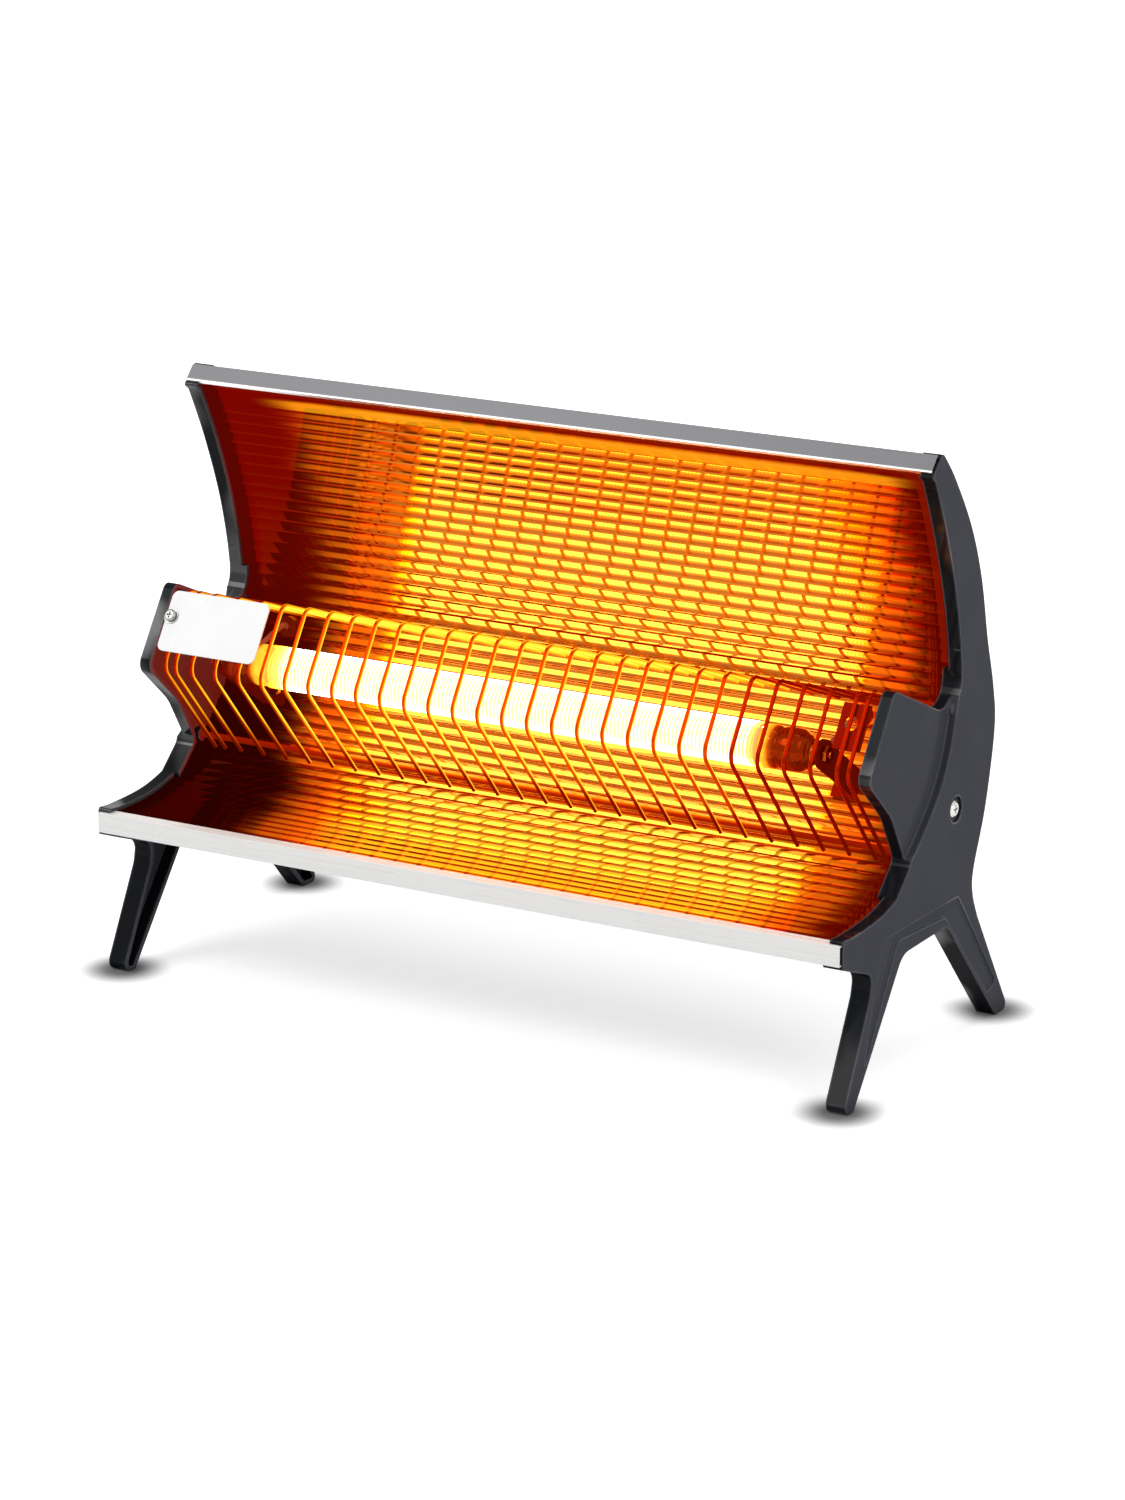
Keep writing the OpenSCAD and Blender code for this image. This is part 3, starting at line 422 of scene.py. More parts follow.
def enamel(name, flat_tone, rim_tone, drips, red_light):
    """Satin flat_tone where the surface faces along X, glossy rim_tone elsewhere: a dark rim_tone is a painted
    reflection, and the edges between get a painted highlight. `drips` is how much of its coat gathers in
    glossy patches, and red_light how much of the element's painted red glow it takes."""
    finish = Finish(name)
    spot, (x, y, z) = finish.place()
    drift = finish.noise(spot, 33.0, 3.0)
    ripple = finish.noise(spot, 420.0, 2.0)
    drained = finish.noise(spot, 38.0, 2.0, (1, 1, 0.35), 0.4)
    soft = finish.node("ShaderNodeBevel", {"samples": 6}, {"Radius": 0.0022})
    sideways = finish.parts(soft)[0].math("ABSOLUTE")
    fold = finish.node("ShaderNodeAttribute", {"attribute_name": "fold"}, {}, "Fac")
    flat = sideways.ramp(0.78, 0.97).math("MAXIMUM", fold * 0.8)
    # painted highlight: the edges between the sides and the rims are lightened to 2.8 times flat_tone
    edge = sideways.ramp(0.42, 0.68) * (1.0 - sideways.ramp(0.84, 0.97))
    even = finish.mix(drift.ramp(0.3, 0.7), tuple(0.9 * c for c in flat_tone), flat_tone)
    # painted reflection: the rims take rim_tone, near black on the frames, for dark surroundings in their gloss
    tone = finish.mix(flat, rim_tone, even)
    finish.give(Base_Color=finish.mix(edge * 0.8, tone, tuple(2.8 * c for c in flat_tone)))
    # painted light: a faint red glow on the inner faces near the element
    painted_red_glow = red_from_bar(finish, x, y, z) * red_light
    finish.give(Emission_Color=finish.mix(painted_red_glow, (0.0, 0.0, 0.0), (0.12, 0.003, 0.0)), Emission_Strength=1.0)
    finish.give(Roughness=flat * 0.2 + drift * 0.08 + 0.2)
    finish.give(Coat_Weight=(1.0 - flat) * (drained.ramp(0.48, 0.66) * 0.8 + 0.04) * drips + 0.06)
    finish.give(Coat_Roughness=0.06, Specular_IOR_Level=0.0)
    return finish.bump(ripple, 0.10, 0.0002, Normal=soft)


frame_enamel = enamel("frame enamel", (0.066, 0.068, 0.080), (0.008, 0.009, 0.011), 1.0, 1.0)
cover_enamel = enamel("cover enamel", (0.050, 0.051, 0.058), (0.050, 0.051, 0.058), 0.0, 0.0)
tell(frame_enamel, cover_enamel)

# %% [markdown]
# ## Finish: drawn and rolled metal
#
# Sheet steel, screws and trims all have grain. A noise that is stretched up to a hundredfold along X is
# the grain of rolling, and the same noise unstretched is the skin of a plated screw. The steel beside the
# element is painted in its light: tabs and brackets dark red with a faint red glow, the rod, nuts, screws and
# tags orange, and its red rim colour keeps the pale room out of its gloss.


# %% Grained metal
def grained(name, base, roughness, stretch, depth=0.1, metallic=1.0, rim=(1, 1, 1)):
    """Metal with grain: a noise squeezed by `stretch` moves tone, roughness and a shallow bump. `rim` tints the
    gloss at a grazing angle."""
    finish = Finish(name)
    spot, _ = finish.place()
    grain = finish.noise(spot, 900.0, 2.0, stretch)
    stain = finish.noise(spot, 45.0, 3.0)
    dark = tuple(0.86 * c for c in base)
    finish.give(Base_Color=finish.mix(grain * 0.6 + stain * 0.4, dark, base))
    finish.give(Roughness=grain * 0.10 + stain * 0.08 + (roughness - 0.09))
    finish.give(Metallic=metallic, Specular_Tint=rim)
    return finish.bump(grain, depth, 0.0001)


plain_steel = grained("plain steel", (0.55, 0.54, 0.52), 0.36, (0.02, 1, 1))
screw_steel = grained("screw steel", (0.66, 0.65, 0.62), 0.28, (1, 1, 1))
trim_metal = grained("white trim", (0.95, 0.95, 0.94), 0.28, (0.01, 1, 1), 0.05, 0.0)
plated_brass = grained("plain brass", (0.70, 0.55, 0.26), 0.30, (0.1, 1, 1))
# painted light: dark red with a faint red glow, and orange, for the element's light on the steel beside it
red_lit_steel = grained("red-lit steel", (0.055, 0.001, 0.0004), 0.24, (1, 1, 1), rim=(0.4, 0.02, 0.0))
orange_lit_steel = grained("orange-lit steel", (0.40, 0.06, 0.004), 0.20, (1, 1, 1), rim=(0.9, 0.2, 0.02))
red_lit_steel.give(Emission_Color=(0.10, 0.003, 0.0), Emission_Strength=1.0)
dull_steel = grained("dull steel", (0.30, 0.30, 0.29), 0.30, (1, 1, 1))
tell(plain_steel, screw_steel, trim_metal, plated_brass, red_lit_steel, orange_lit_steel, dull_steel)

# %% [markdown]
# The top trim is the same channel, given a darker satin grey than the white bottom trim: painted shade for
# the dimmer reflection on its face. Its lower edge is folded over and catches the light, and that thin white
# line is a painted highlight.

# %% Top trim
# painted shade: a darker grey than the bottom trim; painted highlight: a white line along the lower edge
shaded_top_trim = grained("shaded top trim", (0.175, 0.175, 0.182), 0.34, (0.01, 1, 1), 0.05)
_, (x, y, z) = shaded_top_trim.place()
painted_hem_highlight = 1.0 - z.ramp(0.2804, 0.2810)
grey = Value(shaded_top_trim, shaded_top_trim.shader.inputs["Base Color"].links[0].from_socket)
shaded_top_trim.give(Base_Color=shaded_top_trim.mix(painted_hem_highlight, grey, (0.95, 0.95, 0.94)))
tell(shaded_top_trim)

# %% [markdown]
# ## Finish: moulded and sprayed small parts
#
# The name plate is bare white enamel. The terminal block, leads and gland are moulded: matte, with a
# faint grain and slightly uneven gloss. Where the two sleeved leads come through the reflector, they are
# lit red.


# %% Moulded parts
def moulded(name, base, roughness, scale=600.0, depth=0.15):
    """Even colour with a tenth of drift, and a grain of `scale` spots a metre in its gloss and its bump."""
    finish = Finish(name)
    spot, _ = finish.place()
    grain = finish.noise(spot, scale, 3.0)
    cloud = finish.noise(spot, 60.0, 2.0)
    dark = tuple(0.9 * c for c in base)
    finish.give(Base_Color=finish.mix(cloud, dark, base))
    finish.give(Roughness=grain * 0.12 + (roughness - 0.06))
    return finish.bump(grain, depth, 0.0001)


plate_white = moulded("white enamel plate", (0.93, 0.93, 0.93), 0.28, 900.0, 0.04)
block_plastic = moulded("block moulding", (0.74, 0.70, 0.60), 0.5)
gland_rubber = moulded("gland rubber", (0.025, 0.025, 0.027), 0.6)
lead_sleeve = moulded("glass-fibre sleeve", (0.05, 0.045, 0.04), 0.7, 1500.0, 0.4)
_, (x, y, z) = lead_sleeve.place()
lit_sleeve = lead_sleeve.mix(y.ramp(0.024, 0.034), (0.50, 0.035, 0.0), (0.0, 0.0, 0.0))
lead_sleeve.give(Emission_Color=lit_sleeve, Emission_Strength=0.6)
lead_green = moulded("green lead", (0.10, 0.36, 0.06), 0.45)
tell(plate_white, block_plastic, gland_rubber, lead_sleeve, lead_green)

# %% [markdown]
# ## Finish: glow
#
# At working heat the winding is nearly white and its last turns are yellow. Crests of the turns are white
# and the hollows between them yellow, which draws the fine arcs.
#
# The half that is turned to the sheet lights it and is what the flutes mirror, so it keeps the full glow.
# The half that is turned to the room is kept just past white: at full strength it would swamp the thin
# wires that cross it. A step between, along the top and under the bar, softens the change.


# %% Winding glow
def glow_level(y, z, room_side):
    """room_side on the half that is turned to the room, where room_way . (y, z) is above 0, 0.16 more along its
    edges, and 0.84 on the half behind."""
    depth = (y - element_at[0]) * room_way[0] + (z - element_at[1]) * room_way[1]
    behind, edge = 1.0 - depth.ramp(-0.0015, 0.0005), 1.0 - depth.ramp(0.003, 0.006)
    below = 1.0 - z.ramp(element_at[1] - 0.0085, element_at[1] - 0.0050)
    return behind * (0.84 - room_side) + edge.math("MAXIMUM", below) * 0.16 + room_side


winding_glow = Finish("glowing winding")
_, (x, y, z) = winding_glow.place()
hot = x.ramp(coil_low - 0.002, coil_low + 0.015) * (1.0 - x.ramp(coil_high - 0.006, coil_high + 0.001))
crest = from_axis(y, z).ramp(coil_radius - 0.0002, coil_radius + 0.9 * turn_radius)
full_heat = winding_glow.colours(crest, (0.0, (1.0, 0.70, 0.20)), (1.0, (1.0, 1.0, 0.93)))
end_turns = winding_glow.colours(
    hot,
    (0.0, (0.55, 0.09, 0.0)),
    (0.25, (0.9, 0.30, 0.0)),
    (0.4, (1.0, 0.66, 0.02)),
    (1.0, (1.0, 0.80, 0.18)),
)
colour = winding_glow.mix(hot.ramp(0.75, 1.0), end_turns, full_heat)
level = glow_level(y, z, 0.09)
winding_glow.give(Emission_Color=winding_glow.mix(level, (0.0, 0.0, 0.0), colour), Emission_Strength=14.0)
winding_glow.give(Base_Color=(0.4, 0.3, 0.2), Roughness=0.6)

# %% [markdown]
# The ceramic core shows only between the turns and at its ends. It glows a little less than the wire, and
# falls off to orange over the last two centimetres at each end.

# %% Core glow
core_glow = Finish("glowing core")
_, (x, y, z) = core_glow.place()
warmth = 1.0 - past_winding(x).ramp(-0.02, 0.0)
core_tone = core_glow.colours(
    warmth, (0.0, (0.9, 0.14, 0.0)), (0.5, (1.0, 0.50, 0.05)), (1.0, (1.0, 0.72, 0.22))
)
core_glow.give(Emission_Color=core_tone, Emission_Strength=1.25)
core_glow.give(Base_Color=(0.6, 0.4, 0.2), Roughness=0.8)
tell(winding_glow, core_glow)

# %% [markdown]
# ## The guard
#
# Stiff bright wires, each bent twice: up from the reflector, over a corner, down the front and back
# under the element. The straight runs are lines and each bend is an arc that meets them squarely, so
# the whole wire is one path for the tube helper.

# %% Wire path
wire_back, wire_corner, wire_nose, wire_front = 0.001 * np.array(
    [[30.5, 159.2], [-30.5, 182.2], [-52.4, 148.5], [-9.4, 98.1]]
)


def arc_at(before, corner, after, radius, count):
    """Points of the circle that touches both straight runs at a corner: with half the angle between them, its
    middle lies radius / sin(half) from the corner, and it touches each run at radius / tan(half) along it."""
    u = (before - corner) / np.linalg.norm(before - corner)
    v = (after - corner) / np.linalg.norm(after - corner)
    half = math.acos(float(u @ v)) / 2
    middle = corner + (u + v) / np.linalg.norm(u + v) * radius / math.sin(half)
    start = corner + u * radius / math.tan(half) - middle
    turn = math.pi - 2 * half
    if u[0] * v[1] - u[1] * v[0] > 0:
        turn = -turn
    a = np.linspace(0, turn, count)
    return middle + np.outer(np.cos(a), start) + np.outer(np.sin(a), [-start[1], start[0]])


wire_line = np.vstack(
    [
        wire_back,
        arc_at(wire_back, wire_corner, wire_nose, 0.005, 12),
        arc_at(wire_corner, wire_nose, wire_front, 0.008, 12),
        wire_front,
    ]
)
wire_radius = 0.001

# %% [markdown]
# The wires stand evenly, but the last two at each end are closer: there they are welded to the tabs that
# hold the guard to the frames.

# %% Wire places
rim_x, tab_gap, edge_gap, next_gap = 0.191, 0.0066, 0.0058, 0.0114
even_count, left_shift = 26, 0.002
edge_x = rim_x - tab_gap
beside_x = edge_x - edge_gap
even_x = beside_x - next_gap
evenly = np.linspace(-even_x, even_x, even_count) - left_shift
wire_x = np.concatenate([[-edge_x, -beside_x], evenly, [beside_x, edge_x]])
print("wires:", len(wire_x), "pitch mm:", round(1000 * (evenly[1] - evenly[0]), 2))

# %% [markdown]
# ## The reflector
#
# One bright sheet, rolled with fine flutes that run the whole width. Each flute is a little curved
# mirror, so it shows its own thin picture of the element: that is where the bright stripes come from.
# The sheet is a profile in Y and Z, carried along X. The profile is a smooth middle line with the flutes'
# height added across it, and the sheet's two faces are that line moved half a thickness each way.

# %% Reflector profile
reflector_keys = 0.001 * np.array(
    [[-0.5, 279.5], [14, 249.5], [27, 214], [34, 178], [32.5, 150], [20, 123], [-8, 96.5], [-44, 82.5]]
    + [[-86.4, 80.4]]
)
middle_line = smooth_through(reflector_keys, 60)
steps = np.linalg.norm(np.diff(middle_line, axis=0), axis=1)
run_length = np.concatenate([[0.0], np.cumsum(steps)])
sheet_length = run_length[-1]
flute_pitch, sheet_thickness, lip_band = 0.0061, 0.0005, 0.010
flute_count = int((sheet_length - 2 * lip_band) / flute_pitch)
flute_start = (sheet_length - flute_count * flute_pitch) / 2
print("sheet length:", round(sheet_length, 4), "flutes:", flute_count)

# %% [markdown]
# The sheet as a whole throws the glow forwards and a little up. No smooth curve does that everywhere, so
# each flute leans by the angle that is missing: it faces halfway between the way to the element and the way
# to the room. Across its width the flute is a shallow bowl, and a narrow ridge brings it back to the middle
# line. The nearer the element, the deeper the bowl, so that the bright stripe fills about half of a flute.


# %% One flute
def across(line):
    """Unit directions to the left of a line in (y, z)."""
    along = np.gradient(line, axis=0)
    along /= np.linalg.norm(along, axis=1, keepdims=True)
    return np.stack([-along[:, 1], along[:, 0]], axis=1)


def flute_height(u, lean, bowl, width):
    """Height towards the room at u of a flute: it falls by `lean` and sags by the parabola
    bowl * (u * u / width - u) up to u = width, and then climbs straight back to 0 at u = 1."""
    down = -lean * u + bowl * (u * u / width - u)
    back = -lean * width * (1 - u) / (1 - width)
    return np.where(u < width, down, back) + lean * width / 2


bowl_width = 0.88
within = np.concatenate([[0, 0.015, 0.04], np.linspace(0.08, 0.84, 10), [0.88, 0.90, 0.96]])
print("points across a flute:", len(within))


# %% Flutes down the sheet
def down_sheet(values, s):
    """Both columns of `values`, which go with run_length, read off at the lengths s."""
    return np.stack([np.interp(s, run_length, values[:, k]) for k in range(2)], axis=1)


flute_s = flute_start + flute_pitch * (np.arange(flute_count)[:, None] + within[None, :]).ravel()
top_lip = np.linspace(0, flute_start, 4)[:-1]
bottom_lip = np.linspace(sheet_length - flute_start, sheet_length, 4)
s = np.concatenate([top_lip, flute_s, bottom_lip])
phase = (s - flute_start) / flute_pitch
fluted = (s >= flute_start) & (s < sheet_length - flute_start)
flute_middle = flute_start + flute_pitch * (np.floor(phase) + 0.5 * bowl_width)
to_element = element_at - down_sheet(middle_line, flute_middle)
halfway = to_element / np.linalg.norm(to_element, axis=1, keepdims=True) + room_way
room_side = -down_sheet(across(middle_line), flute_middle)
downwards = np.stack([-room_side[:, 1], room_side[:, 0]], axis=1)
lean = (halfway * downwards).sum(axis=1) / (halfway * room_side).sum(axis=1)
bowl = 0.035 + 0.24 * (0.05 / np.linalg.norm(to_element, axis=1)) ** 3
rise = flute_pitch * np.where(fluted, flute_height(phase % 1.0, lean, bowl, bowl_width), 0.0)
lean_shown = np.degrees(np.arctan(lean[fluted][:: 6 * len(within)]))
print("flute lean, degrees:", np.round(lean_shown, 1).tolist())

# %% [markdown]
# The profile is closed into a thin ring, front face down and back face up, and carried along X.

# %% Fluted sheet
centre = down_sheet(middle_line, s) - down_sheet(across(middle_line), s) * rise[:, None]
half_thick = across(down_sheet(middle_line, s)) * sheet_thickness / 2
ring = np.vstack([centre - half_thick, (centre + half_thick)[::-1]])
sheet_left, sheet_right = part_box("reflector")
sheet_x = np.linspace(sheet_left.x, sheet_right.x, 25)
points = np.stack(np.broadcast_arrays(sheet_x[:, None], ring[None, :, 0], ring[None, :, 1]), axis=-1)
print("sheet points:", points.shape[:2])

# %% [markdown]
# The finish needs to know how far down the sheet a point lies, so the mesh carries a UV map: across the
# width in U, and along the profile in V, below 0 on the back face.

# %% Sheet UV map
reach = np.concatenate([s, -s[::-1]]) / sheet_length
across_width = (sheet_x - sheet_x[0]) / (sheet_x[-1] - sheet_x[0])
spread = np.stack(np.broadcast_arrays(across_width[:, None], reach[None, :]), axis=-1)
print("V runs from", round(reach.min(), 3), "to", round(reach.max(), 3))

# %% [markdown]
# ## Finish: the reflector
#
# The sheet is a tinted mirror, so the flutes show the element and the wires by themselves. Its tint is
# painted light, the colour of the element's glow on bright steel. First come the masks: `gold` is 1 behind
# the element and falls to 0 towards both ends, sooner on the left and on the lip, and in a thin line under
# the top trim, which is a painted shadow of the trim. `bowls` is 1 in the hollow of each flute, found from V.

# %% Where the sheet is lit
reflector_metal = Finish("glow-tinted reflector")
spot, (x, y, z) = reflector_metal.place()
spread_at = reflector_metal.node("ShaderNodeUVMap", {"uv_map": "spread"}, {}, "UV")
reach_at = reflector_metal.parts(spread_at)[1]
sheet_s = reach_at.math("ABSOLUTE") * sheet_length
room_face = reach_at.ramp(0.0, 0.01)
streak = reflector_metal.noise(spot, 30.0, 3.0, (0.4, 4, 4))
gold_x = x + (streak - 0.5) * 0.03
on_lip = 1.0 - z.ramp(0.088, 0.104)
# painted shadow: gold drops to a tenth in a thin line just under the top trim
clear_of_trim_shadow = sheet_s.ramp(0.0045, 0.0075)
gold = (gold_x - on_lip * 0.022).ramp(-0.172, -0.070) * (1.0 - gold_x.ramp(0.118, 0.196))
gold = gold * (clear_of_trim_shadow * 0.9 + 0.1)
upper = z.ramp(0.09, 0.20)
last_flute = sheet_length - flute_start
in_flutes = sheet_s.ramp(flute_start - 0.0004, flute_start)
in_flutes = in_flutes * (1.0 - sheet_s.ramp(last_flute, last_flute + 0.0004))
within_flute = ((sheet_s - flute_start) / flute_pitch).math("FRACT")
bowls = (1.0 - (within_flute - 0.44).math("ABSOLUTE").ramp(0.16, 0.30)) * in_flutes

# %% [markdown]
# The tint of the mirror is painted light: gold in the middle and deep red at the ends, the colour of the
# element's glow. What is mirrored twice is tinted twice, so the gaps between the bright stripes turn orange
# by themselves.

# %% Tint of the sheet
# painted light: deep red at the ends and gold behind the element, with a red rim colour
end_tint = reflector_metal.mix(upper, (0.035, 0.003, 0.0005), (0.075, 0.003, 0.0003))
warm = reflector_metal.colours(
    gold, (0.3, (0.24, 0.018, 0.001)), (0.6, (0.34, 0.060, 0.003)), (1.0, (0.38, 0.124, 0.014))
)
reflector_metal.give(Base_Color=reflector_metal.mix(gold.ramp(0.0, 0.35), end_tint, warm))
reflector_metal.give(Roughness=streak * 0.04 + 0.03, Metallic=1.0, Specular_Tint=(0.35, 0.035, 0.003))

# %% [markdown]
# The sheet's own glow is painted light, the element's light painted on as emission: stripes in the bowl of
# each flute, a glow in the plain band under the trim, and stronger stripes on the lip, which lies open to the
# element. Towards the ends only a painted red glow is left. The back of the sheet stays dark.

# %% Glow of the sheet
# painted light: glow in the band under the trim, stripes in the bowls and on the lip, red glow at the ends
band = clear_of_trim_shadow * (1.0 - sheet_s.ramp(flute_start - 0.0008, flute_start))
painted_bowl_stripes = bowls * gold.ramp(0.0, 0.35) * (1.0 - gold.ramp(0.7, 1.0) * 0.7)
lip_painted_bowl_stripes = bowls * gold.ramp(0.45, 1.0) * on_lip * 0.9
painted_sheet_glow = reflector_metal.mix(band, (0.12, 0.006, 0.0), (0.72, 0.27, 0.006))
painted_sheet_glow = reflector_metal.mix(painted_bowl_stripes, painted_sheet_glow, (0.62, 0.115, 0.003))
painted_sheet_glow = reflector_metal.mix(lip_painted_bowl_stripes, painted_sheet_glow, (0.80, 0.43, 0.015))
painted_end_glow_place = upper.math("MAXIMUM", x.ramp(0.0, 0.1))
painted_end_glow = reflector_metal.mix(painted_end_glow_place, (0.02, 0.0006, 0.0), (0.10, 0.0015, 0.0))
glow = reflector_metal.mix(gold.ramp(0.0, 0.25), painted_end_glow, painted_sheet_glow)
glow = reflector_metal.mix(room_face, (0.0, 0.0, 0.0), glow)
reflector_metal.give(Emission_Color=glow, Emission_Strength=1.0)
tell(reflector_metal)
sheet = grid_mesh("fluted_reflector", points, round_columns=True, capped=True, uv=spread)
piece_of(sheet, ["reflector"], reflector_metal)

# %% [markdown]
# ## Finish: wires in painted light
#
# The wires are painted in the element's light: dark red where they face away from the element and yellow
# where they face it, over a dark red base colour. The light that a point catches is worked out from nine
# spots along the bar: the cosine between the surface and the way to the spot, over the square of the
# distance. The sheet lights their backs and tops too, and an orange glow is painted on the bend nearest to
# the element.
#
# The two rails lie behind the wires and are painted with less of that light, least of all past the left
# end of the bar.


# %% Hot wires
def light_from_bar(finish, spot, spots):
    """Sum over the spots of max(0, normal . way) / distance^2, near 1 for a surface 3 cm away that faces it."""
    facing = finish.facing()
    total = 0.0
    for along in spots:
        lamp_at = (float(along), float(element_at[0]), float(element_at[1]))
        way = finish.node("ShaderNodeVectorMath", {"operation": "SUBTRACT"}, {0: lamp_at, 1: spot})
        ahead = finish.node("ShaderNodeVectorMath", {"operation": "DOT_PRODUCT"}, {0: way, 1: facing}, "Value")
        far = finish.node("ShaderNodeVectorMath", {"operation": "LENGTH"}, {0: way}, "Value")
        total = ahead.math("MAXIMUM", 0.0) / far**3 * (0.03**2 / 1.75) + total
    return total


def glow_lit_wire(name, share, polish, metal, least, left_loss=0.0):
    """Red metal painted in the element's light: its glow is `share` of the light that it catches, less by
    `left_loss` at the left end, and never less than `least`."""
    finish = Finish(name)
    spot, (x, y, z) = finish.place()
    scale_marks = finish.noise(spot, 260.0, 3.0)
    over_bar = x.ramp(-0.145, -0.120) * (1.0 - x.ramp(0.110, 0.135))
    _, backwards, upwards = finish.parts(finish.facing())
    from_sheet = (backwards.ramp(0.0, 0.9) * 0.6 + upwards.ramp(0.8, 0.95) * 0.3) * over_bar
    caught = light_from_bar(finish, spot, np.linspace(coil_low + 0.01, coil_high - 0.01, 9)) + from_sheet
    # painted glow: orange on the bend nearest to the element
    bend = over_bar * (1.0 - from_axis(y, z).ramp(0.030, 0.044)) * 0.13
    kept = 1.0 - (1.0 - x.ramp(-0.160, -0.090)) * left_loss
    # painted light: the glow colour follows the light caught, from dark red to yellow
    warmth = finish.colours(
        (caught * (scale_marks * 0.3 + 0.85) + bend) * share * kept,
        (0.0, least),
        (0.08, tuple(np.maximum(least, (0.05, 0.002, 0.0)))),
        (0.18, (0.15, 0.022, 0.0)),
        (0.36, (0.25, 0.125, 0.002)),
        (0.6, (0.30, 0.22, 0.01)),
        (1.0, (0.40, 0.32, 0.02)),
    )
    # painted light: a dark red base colour, redder over the bar
    finish.give(Base_Color=finish.mix(over_bar, (0.22, 0.005, 0.0), (0.30, 0.010, 0.0)))
    finish.give(Roughness=scale_marks * 0.08 + polish, Emission_Color=warmth, Emission_Strength=4.0)
    return finish.give(Metallic=metal, Specular_IOR_Level=0.0, Specular_Tint=(0.8, 0.06, 0.0))


wire_metal = glow_lit_wire("glow-lit wire", 1.0, 0.12, 1.0, (0.03, 0.001, 0.0))
rail_metal = glow_lit_wire("glow-lit rail", 0.3, 0.5, 0.0, (0.045, 0.002, 0.0), 0.8)
tell(wire_metal, rail_metal)

# %% [markdown]
# The thirty wires are the same bent tube at thirty places, so one array of rings is repeated along X and
# joined into a single mesh.


# %% Guard wires
def many_tubes(name, tubes):
    """One mesh from tubes[tube, ring, side]: quads between rings and a face over each end."""
    count, rings, sides, _ = tubes.shape
    index = np.arange(count * rings * sides).reshape(count, rings, sides)
    closed = np.concatenate([index, index[:, :, :1]], axis=2)
    near, far = closed[:, :-1], closed[:, 1:]
    quads = np.stack([near[..., :-1], near[..., 1:], far[..., 1:], far[..., :-1]], axis=-1)
    faces = quads.reshape(-1, 4).tolist() + index[:, 0, ::-1].tolist() + index[:, -1].tolist()
    mesh = bpy.data.meshes.new(name)
    mesh.from_pydata(tubes.reshape(-1, 3).tolist(), [], faces)
    return mesh


path = np.hstack([np.zeros((len(wire_line), 1)), wire_line])
one_wire = tube_points(path, wire_radius, 12, np.array([1.0, 0.0, 0.0]))
all_wires = one_wire[None] + np.outer(wire_x, [1, 0, 0])[:, None, None, :]
piece_of(many_tubes("bent_guard_wires", all_wires), ["guard_wires"], wire_metal)

# %% [markdown]
# ## The element
#
# A long close spiral of resistance wire on a ceramic core, between two ribbed porcelain bushes. The
# spiral is a helix: X grows steadily while Y and Z go round a circle. It has one turn every two
# millimetres, too fine for the solids, which carry fewer and thicker turns in the same space.
#
# It lights nothing by diffuse light, only by what is mirrored, because the lamps already show the enamel
# and the plate at their own colour.

# %% Winding
coil_turns, points_a_turn = 132, 22
angle = np.linspace(0, 2 * np.pi * coil_turns, points_a_turn * coil_turns + 1)
along_x = np.linspace(coil_low + 0.001, coil_high - 0.001, len(angle))
round_axis = element_at + coil_radius * np.stack([np.sin(angle), np.cos(angle)], axis=1)
helix = np.hstack([along_x[:, None], round_axis])
spiral = tube_points(helix, turn_radius, 7, np.array([1.0, 0.0, 0.0]))
spiral = grid_mesh("fine_winding", spiral, round_columns=True, capped=True)
winding = piece_of(spiral, ["heating_coil"], winding_glow)
winding.visible_diffuse = False

# %% [markdown]
# ## Porcelain bushes
#
# A porcelain bush at each end of the core holds the element and keeps it off the steel. It is painted in
# the element's light: a painted glow, yellow near the winding and darkening to red brown outwards, over a
# red base colour and a red gloss. The side that is turned to the sheet takes more light than the side that
# is turned to the room.

# %% Bush finish
glow_lit_glaze = Finish("glow-lit porcelain")
spot, (x, y, z) = glow_lit_glaze.place()
cloud = glow_lit_glaze.noise(spot, 140.0, 3.0)
from_winding = past_winding(x)
near = 1.0 - from_winding.ramp(0.002, 0.009)
# painted light: red base colour, red gloss and a glow, for the element's light on the porcelain
glow_lit_glaze.give(Base_Color=glow_lit_glaze.mix(near, (0.15, 0.012, 0.001), (0.5, 0.10, 0.01)))
room_side_tone = glow_lit_glaze.colours(
    near * (cloud * 0.4 + 0.8),
    (0.0, (0.035, 0.002, 0.0)),
    (0.4, (0.12, 0.012, 0.0)),
    (0.7, (0.32, 0.13, 0.003)),
    (1.0, (0.33, 0.23, 0.013)),
)
sheet_side_tone = glow_lit_glaze.mix(from_winding.ramp(0.0, 0.030), (1.0, 0.45, 0.03), (0.8, 0.10, 0.0))
backwards = glow_lit_glaze.parts(glow_lit_glaze.facing())[1]
bush_tone = glow_lit_glaze.mix(backwards.ramp(0.1, 0.5), room_side_tone, sheet_side_tone)
glow_lit_glaze.give(Emission_Color=bush_tone, Emission_Strength=2.8, Roughness=cloud * 0.1 + 0.06)
glow_lit_glaze.give(Metallic=0.85, Specular_Tint=(0.9, 0.12, 0.01))
tell(glow_lit_glaze)

# %% [markdown]
# Each bush is turned: a glazed drum, a groove, a rib and a narrow neck. A profile of distance along the
# bar against radius, turned about the element's axis and smoothed once, gives it soft shoulders.


# %% Bush shape
def bush_profile(face, direction):
    """(x, radius) of a bush from the winding's end at `face`, going outwards along `direction`."""
    corners = 0.001 * np.array(
        [[0, 2.6], [0, 8.6], [0.6, 9.7], [1.8, 10.2], [7.4, 10.2], [8.2, 9.3], [9.4, 9.3], [10.2, 10.2]]
        + [[18.6, 10.2], [20.0, 9.6], [21.2, 8.6], [22.0, 8.0], [22.8, 8.0], [23.3, 7.4], [23.7, 6.6]]
        + [[24.8, 6.4], [25, 5.6], [25, 2.6]]
    )
    return np.stack([face + direction * corners[:, 0], corners[:, 1]], axis=1)


